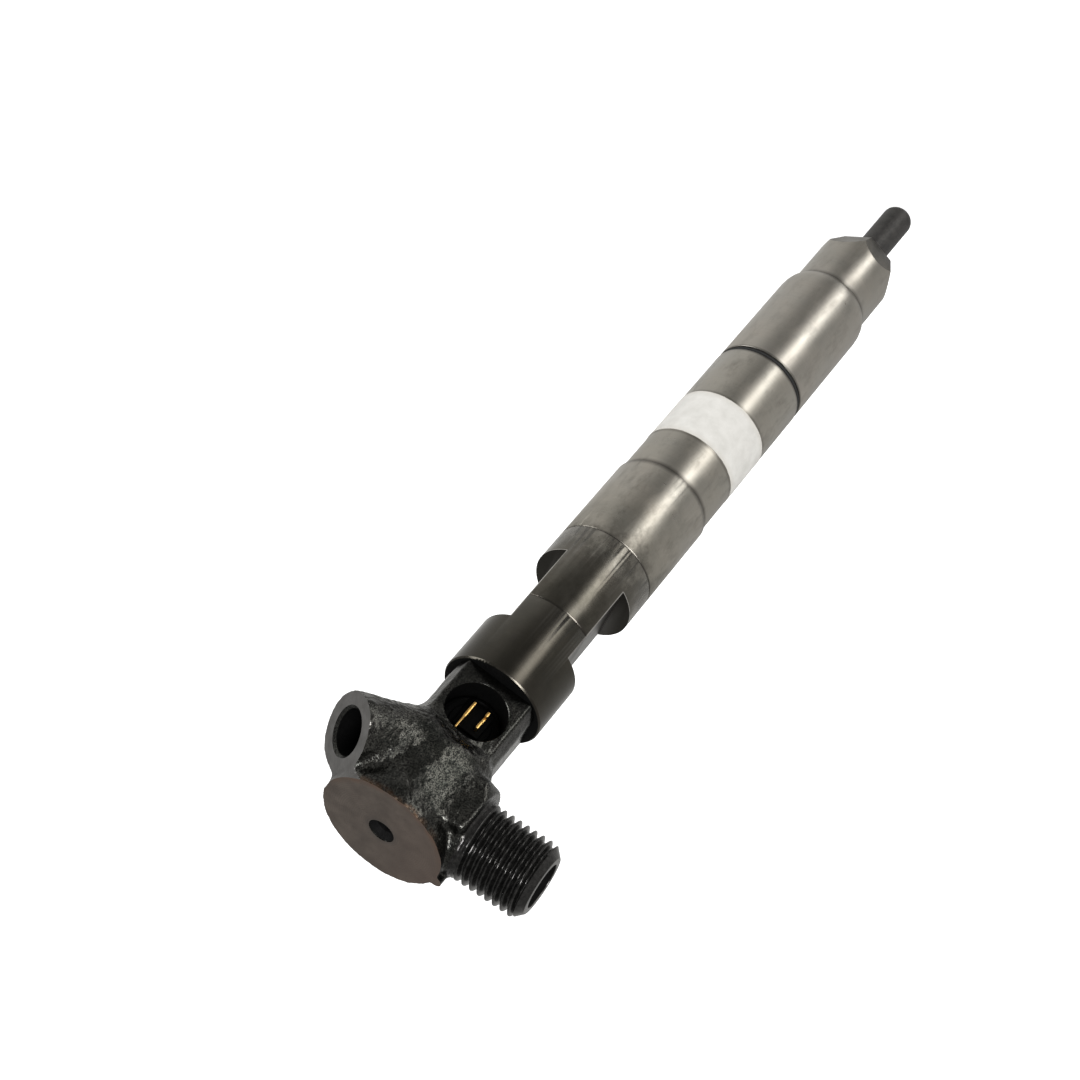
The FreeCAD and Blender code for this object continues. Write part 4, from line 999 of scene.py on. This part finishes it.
lowest = cad_box[0][2]
floor_side = 3.0
floor_verts = [(-floor_side, -floor_side, lowest), (floor_side, -floor_side, lowest),
               (floor_side, floor_side, lowest), (-floor_side, floor_side, lowest)]
floor = new_object("floor", floor_verts, [(0, 1, 2, 3)])
pale = Graph("pale_floor")
pale.surface(pale.mix(pale.noise(0.004, 2.0), grey(0.9), grey(0.92)), 0.9, 0.0)
pale.shader.inputs["Emission Color"].default_value = (1, 1, 1, 1)
pale.shader.inputs["Emission Strength"].default_value = 0.75
floor.data.materials.append(pale.material)
floor.visible_glossy = False


def studio_world():
    """Soft wrap-round light: dim room with one tall strip and softer side panels."""
    world = bpy.data.worlds.new("studio")
    bpy.context.scene.world = world
    world.use_nodes = True
    tree = world.node_tree
    back = tree.nodes["Background"]
    texture = tree.nodes.new("ShaderNodeTexCoord")
    split = tree.nodes.new("ShaderNodeSeparateXYZ")
    tree.links.new(texture.outputs["Generated"], split.inputs[0])
    angle = tree.nodes.new("ShaderNodeMath")
    angle.operation = "ARCTAN2"
    tree.links.new(split.outputs[1], angle.inputs[0])
    tree.links.new(split.outputs[0], angle.inputs[1])
    turn = tree.nodes.new("ShaderNodeMapRange")
    tree.links.new(angle.outputs[0], turn.inputs["Value"])
    turn.inputs["From Min"].default_value = -math.pi
    turn.inputs["From Max"].default_value = math.pi
    ramp = tree.nodes.new("ShaderNodeValToRGB")
    ramp.color_ramp.interpolation = "EASE"
    stops = [(-180, 0.72), (-160, 0.70), (-146, 0.60), (-128, 0.60), (-120, 1.1), (-115, 5.2), (-104, 5.6),
             (-98, 1.2), (-88, 0.34), (-70, 0.38), (-54, 0.48), (-40, 0.72), (-26, 0.92), (0, 0.94),
             (30, 0.88), (60, 0.95), (100, 0.66), (130, 0.66), (158, 0.76), (180, 0.72)]
    ramp_elements = ramp.color_ramp.elements
    while len(ramp_elements) < len(stops):
        ramp_elements.new(0.5)
    for element, (at, value) in zip(ramp_elements, stops):
        element.position = (at + 180) / 360
        element.color = (value * 1.01, value, value * 0.97, 1.0)
    tree.links.new(turn.outputs["Result"], ramp.inputs["Fac"])
    rise = tree.nodes.new("ShaderNodeMapRange")
    tree.links.new(split.outputs[2], rise.inputs["Value"])
    rise.inputs["From Min"].default_value = 0.0
    rise.inputs["From Max"].default_value = 0.55
    mix = tree.nodes.new("ShaderNodeMix")
    mix.data_type = "RGBA"
    tree.links.new(rise.outputs["Result"], mix.inputs[0])
    tree.links.new(ramp.outputs["Color"], mix.inputs[6])
    mix.inputs[7].default_value = (0.42, 0.42, 0.41, 1.0)
    sink = tree.nodes.new("ShaderNodeMapRange")
    tree.links.new(split.outputs[2], sink.inputs["Value"])
    for key, value in (("From Min", -1.0), ("From Max", -0.92), ("To Min", 0.6), ("To Max", 1.0)):
        sink.inputs[key].default_value = value
    dim = tree.nodes.new("ShaderNodeVectorMath")
    dim.operation = "SCALE"
    tree.links.new(mix.outputs[2], dim.inputs[0])
    tree.links.new(sink.outputs["Result"], dim.inputs["Scale"])
    tree.links.new(dim.outputs[0], back.inputs["Color"])
    back.inputs["Strength"].default_value = 0.8


studio_world()


def area_light(name, place, target, size, power, colour=(1, 1, 1)):
    data = bpy.data.lights.new(name, "AREA")
    data.shape = "RECTANGLE"
    data.size, data.size_y = size
    data.energy = power
    data.color = colour
    lamp = bpy.data.objects.new(name, data)
    bpy.context.scene.collection.objects.link(lamp)
    lamp.location = place
    lamp.rotation_euler = (Vector(target) - Vector(place)).to_track_quat("-Z", "Y").to_euler()
    lamp.visible_camera = False
    return lamp


head_centre = (0.0, 0.0, 0.155)
area_light("key", (-0.25, -0.45, 0.75), head_centre, (0.25, 0.25), 5.0)
area_light("side", (0.55, -0.15, 0.35), head_centre, (0.3, 0.4), 2.0)

camera_data = bpy.data.cameras.new("camera")
camera_data.lens = 80.0
camera_data.sensor_width = 36.0
camera_data.clip_start = 0.01
camera = bpy.data.objects.new("camera", camera_data)
bpy.context.scene.collection.objects.link(camera)
camera.location = (-0.0347, -0.3476, 0.3530)
forward = Vector((0.1086, 0.8092, -0.5775)).normalized()
roll = math.radians(-138.7)
level_right = forward.cross(Vector((0, 0, 1))).normalized()
level_up = level_right.cross(forward)
right = level_right * math.cos(roll) + level_up * math.sin(roll)
up = right.cross(forward)
turned = Matrix((right, up, -forward)).transposed().to_4x4()
camera.matrix_world = Matrix.Translation(camera.location) @ turned
bpy.context.scene.camera = camera
bpy.context.scene.view_settings.view_transform = "Standard"
bpy.context.scene.cycles.use_denoising = True
